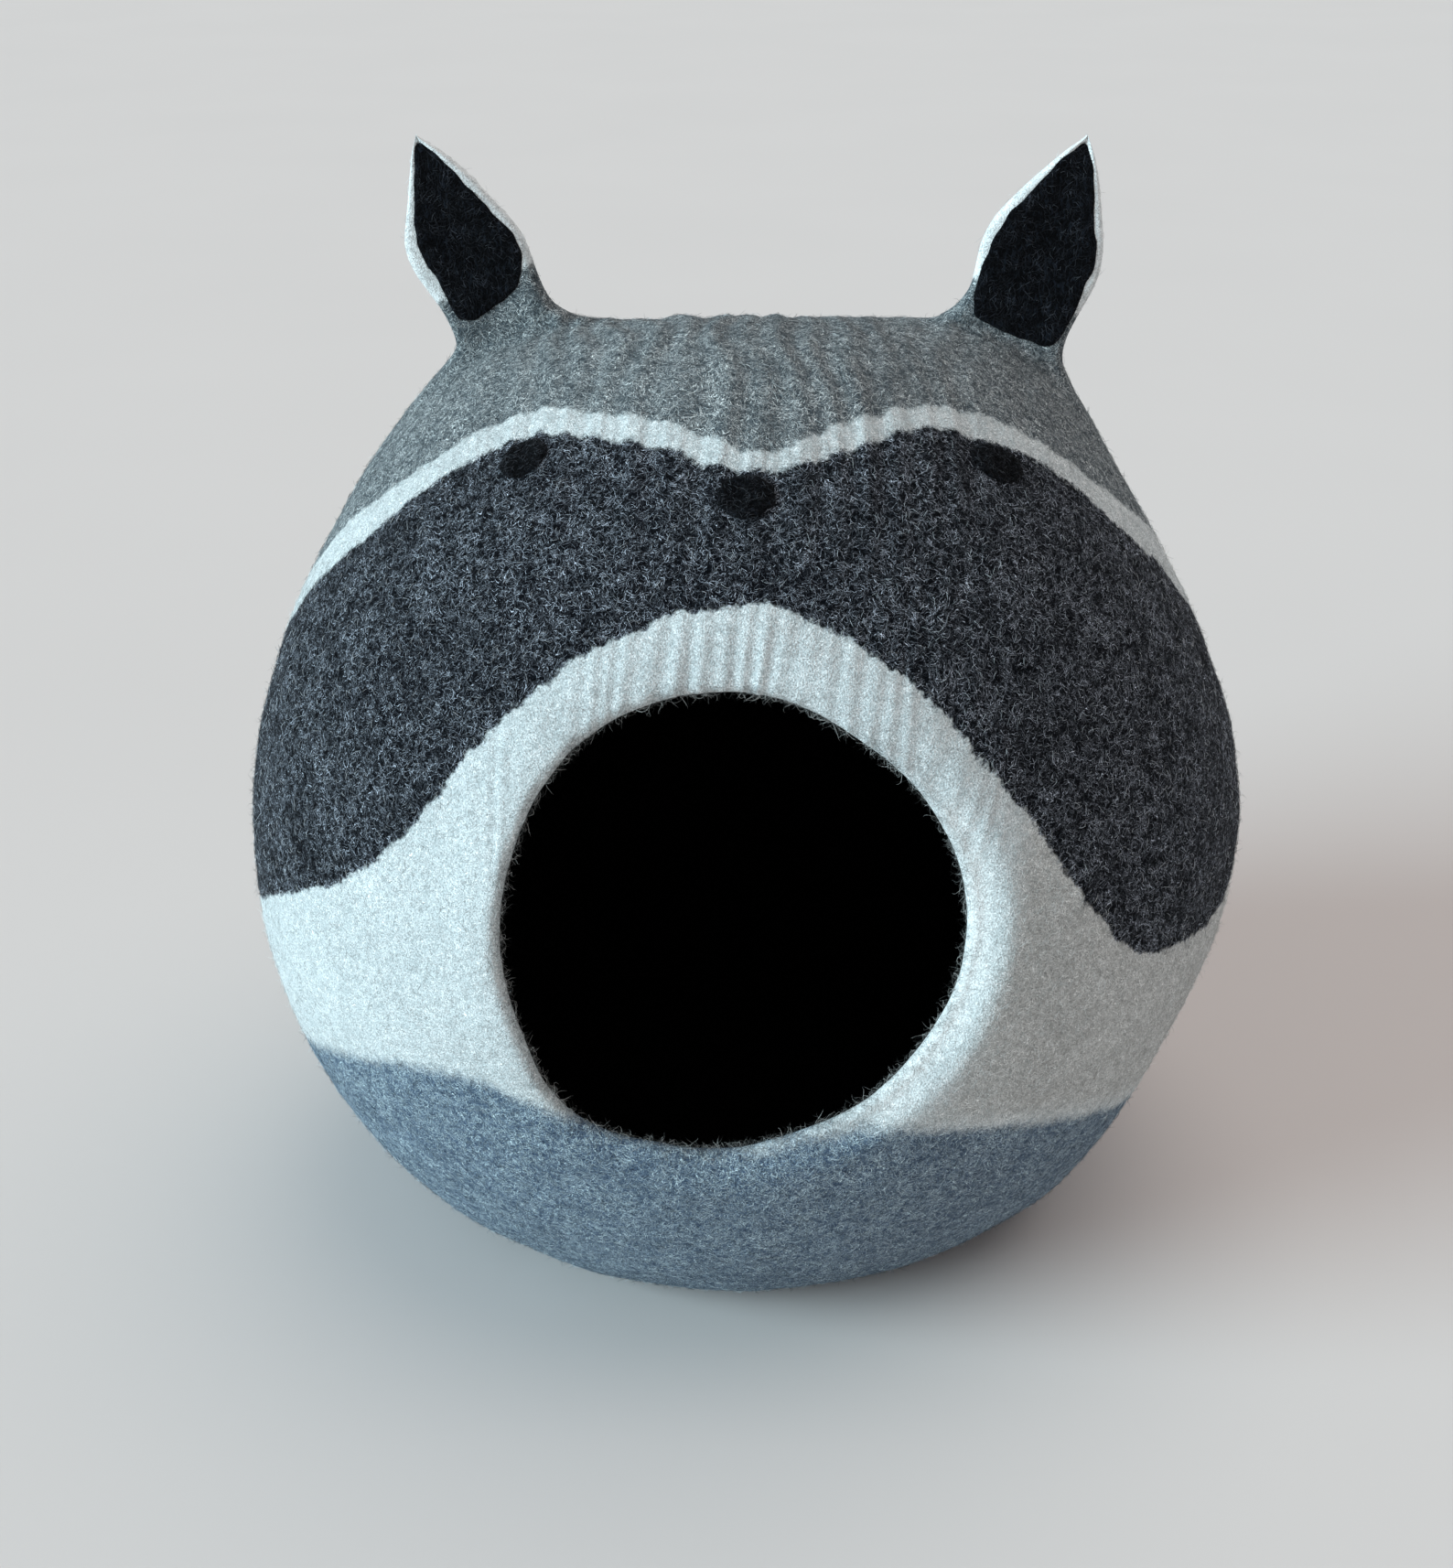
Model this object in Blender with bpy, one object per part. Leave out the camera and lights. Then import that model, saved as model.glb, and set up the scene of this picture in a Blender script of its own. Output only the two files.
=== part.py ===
"""Felt cat cave: one wet-felted wool pod with a round entrance and two leaf-shaped ears.

The pod, its rolled entrance lip and both ears are one felt, so they are one solid. Five black
felt pieces lie on it: a panel on the front of each ear, two eyes and a nose.

Metres, +Z up. The entrance faces -Y, left is -X, and the origin is on the flat base.
"""
import math
from collections import namedtuple

import bpy
import numpy as np
from mathutils import Vector

# The pod: an egg on its blunt end, then the soft swells and hollows of hand felting.
POD_CENTRE = Vector((0, 0, 0.173))
HALF_WIDTH = 0.2265
HALF_DEPTH = 0.205
RISE = 0.254          # from the centre to the top, before the crown is drawn flat between the ears
DROP = 0.221          # from the centre to the bottom, before the pod settles on its base
SETTLE = 0.015        # height over which the side bends into the flat base
WALL = 0.008          # thickness of the felt

Swell = namedtuple("Swell", "place toward spread_deg share")
SWELLS = [
    Swell("crown", (0.00, 0.30, 1.00), 20, -0.053),
    Swell("left shoulder", (-0.50, 0.25, 0.85), 16, 0.053),
    Swell("right shoulder", (0.50, 0.25, 0.85), 16, 0.078),
    Swell("left cheek", (-1.00, -0.10, 0.10), 22, 0.004),
    Swell("right cheek", (1.00, -0.10, 0.10), 26, 0.037),
    Swell("left haunch", (-0.68, -0.30, -0.66), 16, 0.011),
    Swell("right haunch", (0.68, -0.30, -0.66), 15, 0.026),
    Swell("right flank", (0.92, -0.18, -0.36), 16, -0.044),
    Swell("left brow", (-0.42, -0.72, 0.66), 13, 0.010),
    Swell("right brow", (0.40, -0.74, 0.66), 14, 0.008),
    Swell("bridge", (0.00, -0.72, 0.78), 11, -0.007),
    Swell("left back", (-0.45, 0.80, 0.15), 22, 0.014),
    Swell("right back", (0.50, 0.80, 0.35), 20, -0.010),
    Swell("nape", (0.05, 0.85, -0.40), 18, 0.012),
]

# The entrance: a cut circle whose lip rolls a little inwards.
ENTRANCE_TILT = math.radians(16)
ENTRANCE_SWING = math.radians(-1.8)
ENTRANCE_HALF_ANGLE = 26.2    # degrees at the pod's centre
LIP_WIDTH = 0.022
LIP_ROLL = 0.0045

Stretch = namedtuple("Stretch", "turn_deg spread_deg change_deg")
LIP_STRETCHES = [
    Stretch(-142, 17, 3.0),
    Stretch(-84, 32, -1.0),
    Stretch(4, 20, 0.6),
    Stretch(76, 18, 0.6),
    Stretch(152, 16, -0.3),
    Stretch(-172, 14, 1.1),
]

# The mesh of the pod: columns go round the entrance, rows run from its lip to the pod's back.
COLUMNS = 72
COLUMN_STEP = 2 * math.pi / COLUMNS
LIP_ROWS = 4
EDGE_ROWS = 5
FACE_ROWS = 10
BACK_ROWS = 15
LINING_ROWS = 15
EAR_ROW_DEG = 82.4    # angle from the entrance's axis to the row that the ears stand on
EAR_ROW_STEP_DEG = 4.0
EAR_HALF_COLUMNS = 3

Ear = namedtuple("Ear", "side column foot lean_deg length half_width bow web panel_outer_foot panel_inner_foot")
EARS = [
    Ear("left", -5, (-0.1020, 0.035, 0.408), -23, 0.0885, 0.0255, 0.0026, 0.0, 0.009, 0.017),
    Ear("right", 6, (0.1186, 0.035, 0.402), 18, 0.0920, 0.0275, 0.0, 0.010, 0.005, 0.010),
]

# The leaf of an ear: sections up it, as shares of its length and of its half width.
EarSection = namedtuple("EarSection", "height half_width half_thickness")
EAR_SECTIONS = [
    EarSection(0.04, 0.92, 0.0086),
    EarSection(0.10, 0.88, 0.0072),
    EarSection(0.20, 0.89, 0.0057),
    EarSection(0.30, 0.95, 0.0048),
    EarSection(0.40, 1.00, 0.0045),
    EarSection(0.48, 0.98, 0.0045),
    EarSection(0.56, 0.91, 0.0044),
    EarSection(0.64, 0.79, 0.0043),
    EarSection(0.72, 0.65, 0.0041),
    EarSection(0.80, 0.50, 0.0039),
    EarSection(0.88, 0.34, 0.0036),
    EarSection(0.95, 0.18, 0.0030),
    EarSection(1.00, 0.02, 0.0015),
]
EAR_CUP = 0.003       # how far the leaf's edges stand forward of its middle
EAR_BOW_HEIGHT = 0.57     # where the leaf bows outwards most, and how long the bow is
EAR_BOW_SPREAD = 0.16
EAR_WEB_HEIGHT = 0.022        # the web runs out of the ear's inner edge below this height
FLARE_ROWS = 4        # rows in which the foot spreads into the pod
NECK_STEP = 0.003     # the slope of an ear's side at its foot is read over this height
LONGEST_DROP = 0.060  # the pod's face is looked for this far below the leaf's foot
HALVINGS = 20         # of that distance, until the face is found
# Across one section: share of the half width, and share of the half thickness there.
LEAF_FACE = ((0.0, 1.0), (0.40, 1.0), (0.80, 1.0), (0.94, 0.70))

# Felt pieces on top.
SPOT_GAP = 0.0004
PANEL_GAP = 0.0006    # wider than a spot's, for the leaf under it is more bent
PATCH_THICKNESS = 0.0018
PANEL_RIM = 0.0048    # pale felt left showing along the panel's inner edge
PANEL_OUTER_SHARE = 0.79      # the outer edge keeps this share of the leaf's half width
PANEL_TOP = 0.97
PANEL_SIDE_POINTS = 9
PANEL_FOOT_POINTS = 5
PANEL_MIDDLE = 0.45
PatchSection = namedtuple("PatchSection", "share lift")
PATCH_SECTIONS = [
    PatchSection(0.35, 1.0),
    PatchSection(0.72, 1.0),
    PatchSection(0.94, 0.85),
    PatchSection(1.00, 0.40),
    PatchSection(0.97, 0.0),
    PatchSection(0.80, 0.0),
    PatchSection(0.50, 0.0),
]

Spot = namedtuple("Spot", "name toward half_width half_height turn_deg")
SPOTS = [
    Spot("eye_left", (-0.354, -0.331, 0.874), 0.0112, 0.0096, -45),
    Spot("eye_right", (0.426, -0.295, 0.855), 0.0125, 0.0098, 40),
    Spot("nose", (0.009, -0.485, 0.874), 0.0115, 0.0092, 0),
]
SPOT_COLUMNS = 20

GREY_FELT = (0.21, 0.25, 0.28)
BLACK_FELT = (0.012, 0.012, 0.014)
FELT_ROUGHNESS = 0.95


def clear_scene():
    for item in list(bpy.data.objects):
        bpy.data.objects.remove(item, do_unlink=True)


def felt_material(name, colour):
    material = bpy.data.materials.new(name)
    material.use_nodes = True
    shader = material.node_tree.nodes["Principled BSDF"]
    shader.inputs["Base Color"].default_value = (*colour, 1)
    shader.inputs["Roughness"].default_value = FELT_ROUGHNESS
    shader.inputs["Metallic"].default_value = 0
    return material


def add_object(name, points, faces, colour):
    mesh = bpy.data.meshes.new(name)
    mesh.from_pydata(points, [], faces)
    mesh.materials.append(felt_material(name + "_felt", colour))
    mesh.shade_smooth()
    item = bpy.data.objects.new(name, mesh)
    bpy.context.collection.objects.link(item)
    return item


class Rings:
    """A mesh of rings of equal length, closed at both ends by a fan about one point."""

    def __init__(self):
        self.points = []
        self.faces = []
        self.rows = []

    def add_point(self, point):
        self.points.append(tuple(point))
        return len(self.points) - 1

    def add_ring(self, ring):
        self.rows.append([self.add_point(point) for point in ring])

    def fan(self, ring, tip, outwards):
        hub = self.add_point(tip)
        for here, after in zip(ring, ring[1:] + ring[:1]):
            self.faces.append((here, after, hub) if outwards else (after, here, hub))

    def band(self, ring, after_ring, skip=()):
        count = len(ring)
        for i in range(count):
            if i not in skip:
                k = (i + 1) % count
                self.faces.append((ring[i], ring[k], after_ring[k], after_ring[i]))

    def used(self):
        """Points and faces without the points that no face uses."""
        kept = sorted({index for face in self.faces for index in face})
        place = {index: number for number, index in enumerate(kept)}
        points = [self.points[index] for index in kept]
        return points, [tuple(place[index] for index in face) for face in self.faces]


def spaced(first, last, count):
    return np.linspace(first, last, count).tolist()


def read_off(place, places, values):
    return float(np.interp(place, places, values))


def bell(offset, spread):
    return math.exp(-((offset / spread) ** 2))


def pod_radius(direction):
    """Distance from the pod's centre to its outer face."""
    half_height = RISE if direction.z > 0 else DROP
    radius = 1 / math.hypot(direction.x / HALF_WIDTH, direction.y / HALF_DEPTH, direction.z / half_height)
    for swell in SWELLS:
        offset = math.degrees(direction.angle(Vector(swell.toward)))
        radius *= 1 + swell.share * bell(offset, swell.spread_deg)
    return radius


def settled(height):
    """Height above the base, with everything that would be below it pressed flat onto it."""
    if height > SETTLE:
        return height
    if height < -SETTLE:
        return 0
    return (height + SETTLE) ** 2 / (4 * SETTLE)


def pod_point(direction, depth):
    """A point of the felt, a depth under the outer face along the line to the pod's centre."""
    point = POD_CENTRE + (pod_radius(direction) - depth) * direction
    floor = min(max(depth, 0), WALL)
    return Vector((point.x, point.y, floor + settled(point.z - floor)))


ENTRANCE_AXIS = Vector((
    math.sin(ENTRANCE_SWING) * math.cos(ENTRANCE_TILT),
    -math.cos(ENTRANCE_SWING) * math.cos(ENTRANCE_TILT),
    math.sin(ENTRANCE_TILT),
))
ENTRANCE_RIGHT = ENTRANCE_AXIS.cross(Vector((0, 0, 1))).normalized() * -1
ENTRANCE_UP = ENTRANCE_AXIS.cross(ENTRANCE_RIGHT).normalized()


def entrance_direction(turn, angle):
    """Direction at an angle from the entrance's axis, turned from straight up towards the right."""
    sideways = math.cos(turn) * ENTRANCE_UP + math.sin(turn) * ENTRANCE_RIGHT
    return math.cos(angle) * ENTRANCE_AXIS + math.sin(angle) * sideways


def lip_angle(turn):
    """Angle from the entrance's axis to the edge of the hole."""
    angle = ENTRANCE_HALF_ANGLE
    for stretch in LIP_STRETCHES:
        offset = (math.degrees(turn) - stretch.turn_deg + 180) % 360 - 180
        angle += stretch.change_deg * bell(offset, stretch.spread_deg)
    return math.radians(angle)


def lip_roll(away):
    """How far the lip is rolled inwards, this far from the edge of the hole."""
    return LIP_ROLL * max(0, 1 - away / LIP_WIDTH) ** 2


def pod_profile():
    """Rows from the pod's back over the outside, round the lip and along the inside to the back.

    Each row is its share of the way from the edge of the hole to the back, and its depth.
    """
    lip_half = math.radians(ENTRANCE_HALF_ANGLE)
    span = math.pi - lip_half
    lip_share = LIP_WIDTH / HALF_DEPTH / span
    edge_share = WALL / 2 / HALF_DEPTH / span
    ear_share = (math.radians(EAR_ROW_DEG) - lip_half) / span
    ear_step = math.radians(EAR_ROW_STEP_DEG) / span

    face = spaced(lip_share, ear_share - ear_step, FACE_ROWS)
    back = spaced(ear_share + ear_step, 1, BACK_ROWS + 1)[:-1]
    outer = [*face, ear_share, *back]
    rows = [(share, 0) for share in reversed(outer)]
    ear_row = rows.index((ear_share, 0))
    for share in reversed(spaced(edge_share, lip_share, LIP_ROWS + 1)[:-1]):
        rows.append((share, lip_roll(share / lip_share * LIP_WIDTH)))
    edge_depth = lip_roll(WALL / 2) + WALL / 2
    for step in range(1, EDGE_ROWS):
        around = math.pi * step / EDGE_ROWS
        share = edge_share * (1 - math.sin(around))
        rows.append((share, edge_depth - WALL / 2 * math.cos(around)))
    for share in spaced(edge_share, lip_share, LIP_ROWS):
        rows.append((share, WALL + lip_roll(share / lip_share * LIP_WIDTH)))
    for share in spaced(lip_share, 1, LINING_ROWS + 1)[1:-1]:
        rows.append((share, WALL))
    return rows, ear_row


def ear_frame(ear):
    """The ear's foot, its direction up, and its direction across towards +X."""
    lean = math.radians(ear.lean_deg)
    up = Vector((math.sin(lean), 0, math.cos(lean)))
    across = Vector((math.cos(lean), 0, -math.sin(lean)))
    return Vector(ear.foot), up, across


def ear_size(ear, height):
    """Half width and half thickness of the leaf at a height above its foot."""
    share = height / ear.length
    heights = [section.height for section in EAR_SECTIONS]
    width = read_off(share, heights, [section.half_width for section in EAR_SECTIONS])
    thickness = read_off(share, heights, [section.half_thickness for section in EAR_SECTIONS])
    return width * ear.half_width, thickness


def ear_point(ear, height, across_by, face, lift=0):
    """A point on the front (face 1) or the back (face -1) of the leaf, lifted off it.

    Face 0 gives the leaf's edge.
    """
    foot, up, across = ear_frame(ear)
    half_width, half_thickness = ear_size(ear, height)
    share = min(abs(across_by) / half_width, 1)
    thick = read_off(share, [face_share for face_share, _ in LEAF_FACE], [thick for _, thick in LEAF_FACE])
    forward = EAR_CUP * share ** 2 + face * (half_thickness * thick + lift)
    bow = ear.bow * bell(height / ear.length - EAR_BOW_HEIGHT, EAR_BOW_SPREAD)
    shift = math.copysign(bow, ear.lean_deg)
    if across_by * ear.lean_deg < 0:
        shift += math.copysign(ear.web * share * max(0, 1 - height / EAR_WEB_HEIGHT) ** 2, across_by)
    return foot + up * height + across * (across_by + shift) - Vector((0, forward, 0))


def ear_ring(ear, height):
    """A section of the leaf: left edge, front, right edge and back."""
    half_width, _ = ear_size(ear, height)
    shares = [-share for share, _ in LEAF_FACE[:0:-1]] + [share for share, _ in LEAF_FACE]
    left_edge = ear_point(ear, height, -half_width, 0)
    front = [ear_point(ear, height, share * half_width, 1) for share in shares]
    right_edge = ear_point(ear, height, half_width, 0)
    back = [ear_point(ear, height, share * half_width, -1) for share in reversed(shares)]
    return [left_edge, *front, right_edge, *back]


def drop_to_pod(point, higher):
    """The place where a line down the side of the ear, through two of its points, meets the pod."""
    up = (higher - point).normalized()
    low, high = 0, LONGEST_DROP
    for _ in range(HALVINGS):
        middle = (low + high) / 2
        from_centre = point - up * middle - POD_CENTRE
        if from_centre.length > pod_radius(from_centre.normalized()):
            low = middle
        else:
            high = middle
    return point - up * high


def flare(start, corner, end, share):
    """A curve that runs along the pod from start towards the corner, and turns up to the end."""
    along = start.lerp(corner, 1 - (1 - share) ** 2) - POD_CENTRE
    return pod_point(along.normalized(), 0) + (end - corner) * share ** 2


def add_ear(pod, ear, ear_row):
    """Draw the ear out of the patch of felt that was left open for it."""
    near, middle, far = (pod.rows[ear_row + step] for step in (1, 0, -1))
    columns = [(ear.column + step) % COLUMNS for step in range(-EAR_HALF_COLUMNS, EAR_HALF_COLUMNS + 1)]
    loop = [middle[columns[0]], *(near[i] for i in columns), middle[columns[-1]]]
    loop += [far[i] for i in reversed(columns)]

    patch_edge = [Vector(pod.points[i]) for i in loop]
    neck_height = EAR_SECTIONS[0].height * ear.length
    neck = ear_ring(ear, neck_height)
    corners = [drop_to_pod(*side) for side in zip(neck, ear_ring(ear, neck_height + NECK_STEP))]
    rings = []
    for row in range(1, FLARE_ROWS + 1):
        share = row / (FLARE_ROWS + 1)
        rings.append([flare(*curve, share) for curve in zip(patch_edge, corners, neck)])
    rings += [ear_ring(ear, section.height * ear.length) for section in EAR_SECTIONS]
    for points in rings:
        ring = [pod.add_point(point) for point in points]
        pod.band(loop, ring)
        loop = ring
    pod.fan(loop, ear_point(ear, ear.length + EAR_SECTIONS[-1].half_thickness, 0, 0), outwards=True)


def build_shell():
    pod = Rings()
    profile, ear_row = pod_profile()
    for share, depth in profile:
        ring = []
        for column in range(COLUMNS):
            turn = column * COLUMN_STEP
            edge = lip_angle(turn)
            ring.append(pod_point(entrance_direction(turn, edge + (math.pi - edge) * share), depth))
        pod.add_ring(ring)
    ear_quads = set()
    for ear in EARS:
        ear_quads |= {(ear.column + step) % COLUMNS for step in range(-EAR_HALF_COLUMNS, EAR_HALF_COLUMNS)}
    for row in range(len(pod.rows) - 1):
        at_ear = row in (ear_row - 1, ear_row)
        pod.band(pod.rows[row + 1], pod.rows[row], skip=ear_quads if at_ear else ())
    pod.fan(pod.rows[0], pod_point(-ENTRANCE_AXIS, 0), outwards=True)
    pod.fan(pod.rows[-1], pod_point(-ENTRANCE_AXIS, WALL), outwards=False)
    for ear in EARS:
        add_ear(pod, ear, ear_row)
    points, faces = pod.used()
    return add_object("shell", points, faces, GREY_FELT)


def add_patch(name, outline, gap, place):
    """A felt piece cut to a flat outline about its middle, and laid on the felt that place() gives."""
    patch = Rings()
    for section in PATCH_SECTIONS:
        lift = gap + section.lift * PATCH_THICKNESS
        patch.add_ring([place(section.share * x, section.share * y, lift) for x, y in outline])
    for inner, outer in zip(patch.rows, patch.rows[1:]):
        patch.band(inner, outer)
    patch.fan(patch.rows[0], place(0, 0, gap + PATCH_THICKNESS), outwards=False)
    patch.fan(patch.rows[-1], place(0, 0, gap), outwards=True)
    return add_object(name, patch.points, patch.faces, BLACK_FELT)


def build_spot(spot):
    """An eye or the nose: an oval on the pod."""
    toward = Vector(spot.toward).normalized()
    right = toward.cross(Vector((0, 0, 1))).normalized() * -1
    up = toward.cross(right).normalized()
    distance = pod_radius(toward)
    tilt = math.radians(spot.turn_deg)

    def place(x, y, lift):
        direction = (toward * distance + right * x + up * y).normalized()
        return pod_point(direction, -lift)

    outline = []
    for step in range(SPOT_COLUMNS):
        turn = 2 * math.pi * step / SPOT_COLUMNS
        x = spot.half_width * math.sin(turn)
        y = spot.half_height * math.cos(turn)
        outline.append((x * math.cos(tilt) + y * math.sin(tilt), y * math.cos(tilt) - x * math.sin(tilt)))
    return add_patch(spot.name, outline, SPOT_GAP, place)


def build_ear_panel(ear):
    """The black leaf on the ear's front, nearer the ear's outer edge than its inner one."""
    outer_side = -1 if ear.side == "left" else 1
    middle = ear.length * PANEL_MIDDLE

    def side_points(side, foot_height):
        points = []
        for height in spaced(foot_height, ear.length * PANEL_TOP, PANEL_SIDE_POINTS):
            half_width, _ = ear_size(ear, height)
            edge = half_width * PANEL_OUTER_SHARE if side == outer_side else half_width - PANEL_RIM
            points.append((side * edge, height - middle))
        return points

    feet = {outer_side: ear.panel_outer_foot, -outer_side: ear.panel_inner_foot}
    right = side_points(1, feet[1])
    left = side_points(-1, feet[-1])
    foot_x = spaced(right[0][0], left[0][0], PANEL_FOOT_POINTS)
    foot_y = spaced(right[0][1], left[0][1], PANEL_FOOT_POINTS)
    foot = list(zip(foot_x, foot_y))[1:-1]

    def place(x, y, lift):
        return ear_point(ear, y + middle, x, 1, lift)

    return add_patch("ear_panel_" + ear.side, [*reversed(right), *foot, *left], PANEL_GAP, place)


def main():
    clear_scene()
    build_shell()
    for ear in EARS:
        build_ear_panel(ear)
    for spot in SPOTS:
        build_spot(spot)


main()
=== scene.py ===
"""Felt cat cave with raccoon markings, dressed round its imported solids.

One wet-felted wool pod with two ears drawn out of its wall, five black felt pieces laid on it,
and the loose wool that stands off them. Metres, +Z up. The entrance faces -Y and left is -X.
"""

import math
from collections import namedtuple

import bmesh
import bpy
import numpy as np
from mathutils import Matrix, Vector, noise
from mathutils.bvhtree import BVHTree


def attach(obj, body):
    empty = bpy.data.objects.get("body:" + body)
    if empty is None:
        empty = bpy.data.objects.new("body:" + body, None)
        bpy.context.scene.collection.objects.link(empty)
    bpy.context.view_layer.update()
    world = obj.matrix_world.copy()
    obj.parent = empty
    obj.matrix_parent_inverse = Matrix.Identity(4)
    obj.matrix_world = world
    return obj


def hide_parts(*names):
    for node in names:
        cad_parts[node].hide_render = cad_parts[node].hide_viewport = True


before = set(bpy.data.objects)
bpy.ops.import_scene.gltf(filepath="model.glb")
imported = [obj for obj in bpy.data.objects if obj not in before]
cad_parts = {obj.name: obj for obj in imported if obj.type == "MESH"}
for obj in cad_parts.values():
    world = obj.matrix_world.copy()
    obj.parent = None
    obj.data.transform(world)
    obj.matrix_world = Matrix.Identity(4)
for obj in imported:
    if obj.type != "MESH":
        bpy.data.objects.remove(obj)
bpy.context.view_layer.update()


# ------------------------------------------------------------------------------------------
# The pod's form. A maker lays wet wool round a flat round template, felts it, cuts the
# entrance, pulls the template out and stretches the felt over a form. The wall is 8 mm thick,
# the base is pressed flat, and every side swells a little differently from its neighbour.
# ------------------------------------------------------------------------------------------
POD_CENTRE = Vector((0, 0, 0.173))
POD_HALF_WIDTH = 0.2265
POD_HALF_DEPTH = 0.205
POD_RISE = 0.254
POD_DROP = 0.221
BASE_BEND = 0.015     # height over which the side turns into the flat base
WALL = 0.008

Swell = namedtuple("Swell", "place toward spread_deg share")
SWELLS = [
    Swell("crown", (0.00, 0.30, 1.00), 20, -0.053),
    Swell("left shoulder", (-0.50, 0.25, 0.85), 16, 0.053),
    Swell("right shoulder", (0.50, 0.25, 0.85), 16, 0.078),
    Swell("left cheek", (-1.00, -0.10, 0.10), 22, 0.004),
    Swell("right cheek", (1.00, -0.10, 0.10), 26, 0.037),
    Swell("left haunch", (-0.68, -0.30, -0.66), 16, 0.011),
    Swell("right haunch", (0.68, -0.30, -0.66), 15, 0.026),
    Swell("right flank", (0.92, -0.18, -0.36), 16, -0.044),
    Swell("left brow", (-0.42, -0.72, 0.66), 13, 0.010),
    Swell("right brow", (0.40, -0.74, 0.66), 14, 0.008),
    Swell("bridge", (0.00, -0.72, 0.78), 11, -0.007),
    Swell("left back", (-0.45, 0.80, 0.15), 22, 0.014),
    Swell("right back", (0.50, 0.80, 0.35), 20, -0.010),
    Swell("nape", (0.05, 0.85, -0.40), 18, 0.012),
]

ENTRANCE_TILT = math.radians(16)
ENTRANCE_SWING = math.radians(-1.8)
ENTRANCE_HALF_DEG = 26.2
LIP_WIDTH = 0.022
LIP_ROLL = 0.0045
LIP_RIGHT_DEG = 102   # turns round the entrance, 0 at its top
LIP_LEFT_DEG = -90
LIP_SIDE_SPREAD_DEG = 56
LIP_ROLL_LEFT = -0.0070   # on the left the lip stands out a little instead
LIP_WIDTH_LEFT = 0.030
LIP_ROLL_RIGHT = 0.0150   # on the right its edge is turned in further, over less of its width
LIP_WIDTH_RIGHT = 0.0130
LIP_SIDE_BEND = 1.6

Stretch = namedtuple("Stretch", "turn_deg spread_deg change_deg")
LIP_STRETCHES = [
    Stretch(-142, 19, 3.2), Stretch(-66, 30, -1.25), Stretch(-35, 16, 0.35), Stretch(4, 20, 0.6),
    Stretch(35, 25, -0.45), Stretch(58, 22, -0.2), Stretch(120, 26, -0.65),
    Stretch(140, 24, 0.75), Stretch(-176, 18, 1.8), Stretch(98, 45, 2.6), Stretch(-96, 36, -0.6),
]

ENTRANCE_AXIS = Vector((
    math.sin(ENTRANCE_SWING) * math.cos(ENTRANCE_TILT),
    -math.cos(ENTRANCE_SWING) * math.cos(ENTRANCE_TILT),
    math.sin(ENTRANCE_TILT),
))
ENTRANCE_RIGHT = ENTRANCE_AXIS.cross(Vector((0, 0, 1))).normalized() * -1
ENTRANCE_UP = ENTRANCE_AXIS.cross(ENTRANCE_RIGHT).normalized()

COLUMNS = 72          # columns of felt round the entrance, before the mesh is smoothed
COLUMN_STEP = 2 * math.pi / COLUMNS
LIP_ROWS = 5
EDGE_ROWS = 6
FACE_ROWS = 12
BACK_ROWS = 14
LINING_ROWS = 10
EAR_ROW_DEG = 82.4    # how far from the entrance's middle the row lies that the ears grow from
EAR_ROW_STEP_DEG = 4.0


def spaced(first, last, count):
    return np.linspace(first, last, count).tolist()


def read_off(place, places, values):
    return float(np.interp(place, places, values))


def bell(offset, spread):
    return math.exp(-((offset / spread) ** 2))


def turned_from(turn_deg, side_deg):
    """The shorter way round from a side to a turn."""
    return (turn_deg - side_deg + 180) % 360 - 180


def pod_radius(direction):
    half_height = POD_RISE if direction.z > 0 else POD_DROP
    shares = (direction.x / POD_HALF_WIDTH, direction.y / POD_HALF_DEPTH, direction.z / half_height)
    radius = 1 / math.hypot(*shares)
    for swell in SWELLS:
        offset = math.degrees(direction.angle(Vector(swell.toward)))
        radius *= 1 + swell.share * bell(offset, swell.spread_deg)
    return radius


def settled(height):
    if height > BASE_BEND:
        return height
    if height < -BASE_BEND:
        return 0
    return (height + BASE_BEND) ** 2 / (4 * BASE_BEND)


def pod_point(direction, depth):
    """A point of the felt, a depth under its outer face."""
    point = POD_CENTRE + (pod_radius(direction) - depth) * direction
    floor_height = min(max(depth, 0), WALL)
    return Vector((point.x, point.y, floor_height + settled(point.z - floor_height)))


def entrance_direction(turn, angle):
    sideways = math.cos(turn) * ENTRANCE_UP + math.sin(turn) * ENTRANCE_RIGHT
    return math.cos(angle) * ENTRANCE_AXIS + math.sin(angle) * sideways


def lip_angle(turn):
    angle = ENTRANCE_HALF_DEG
    for stretch in LIP_STRETCHES:
        offset = turned_from(math.degrees(turn), stretch.turn_deg)
        angle += stretch.change_deg * bell(offset, stretch.spread_deg)
    return math.radians(angle)


def toward_side(turn, side_deg):
    """1 on one side of the entrance, fading to 0 round it."""
    return bell(turned_from(math.degrees(turn), side_deg), LIP_SIDE_SPREAD_DEG)


def lip_roll(away, turn):
    """How far the felt is turned in, at a distance from the edge and a turn round the entrance."""
    left = toward_side(turn, LIP_LEFT_DEG)
    right = toward_side(turn, LIP_RIGHT_DEG)
    depth = LIP_ROLL * (1 - right) * max(0, 1 - away / LIP_WIDTH) ** 2
    depth += LIP_ROLL_LEFT * left * max(0, 1 - away / LIP_WIDTH_LEFT) ** LIP_SIDE_BEND
    return depth + LIP_ROLL_RIGHT * right * max(0, 1 - away / LIP_WIDTH_RIGHT) ** LIP_SIDE_BEND


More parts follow.
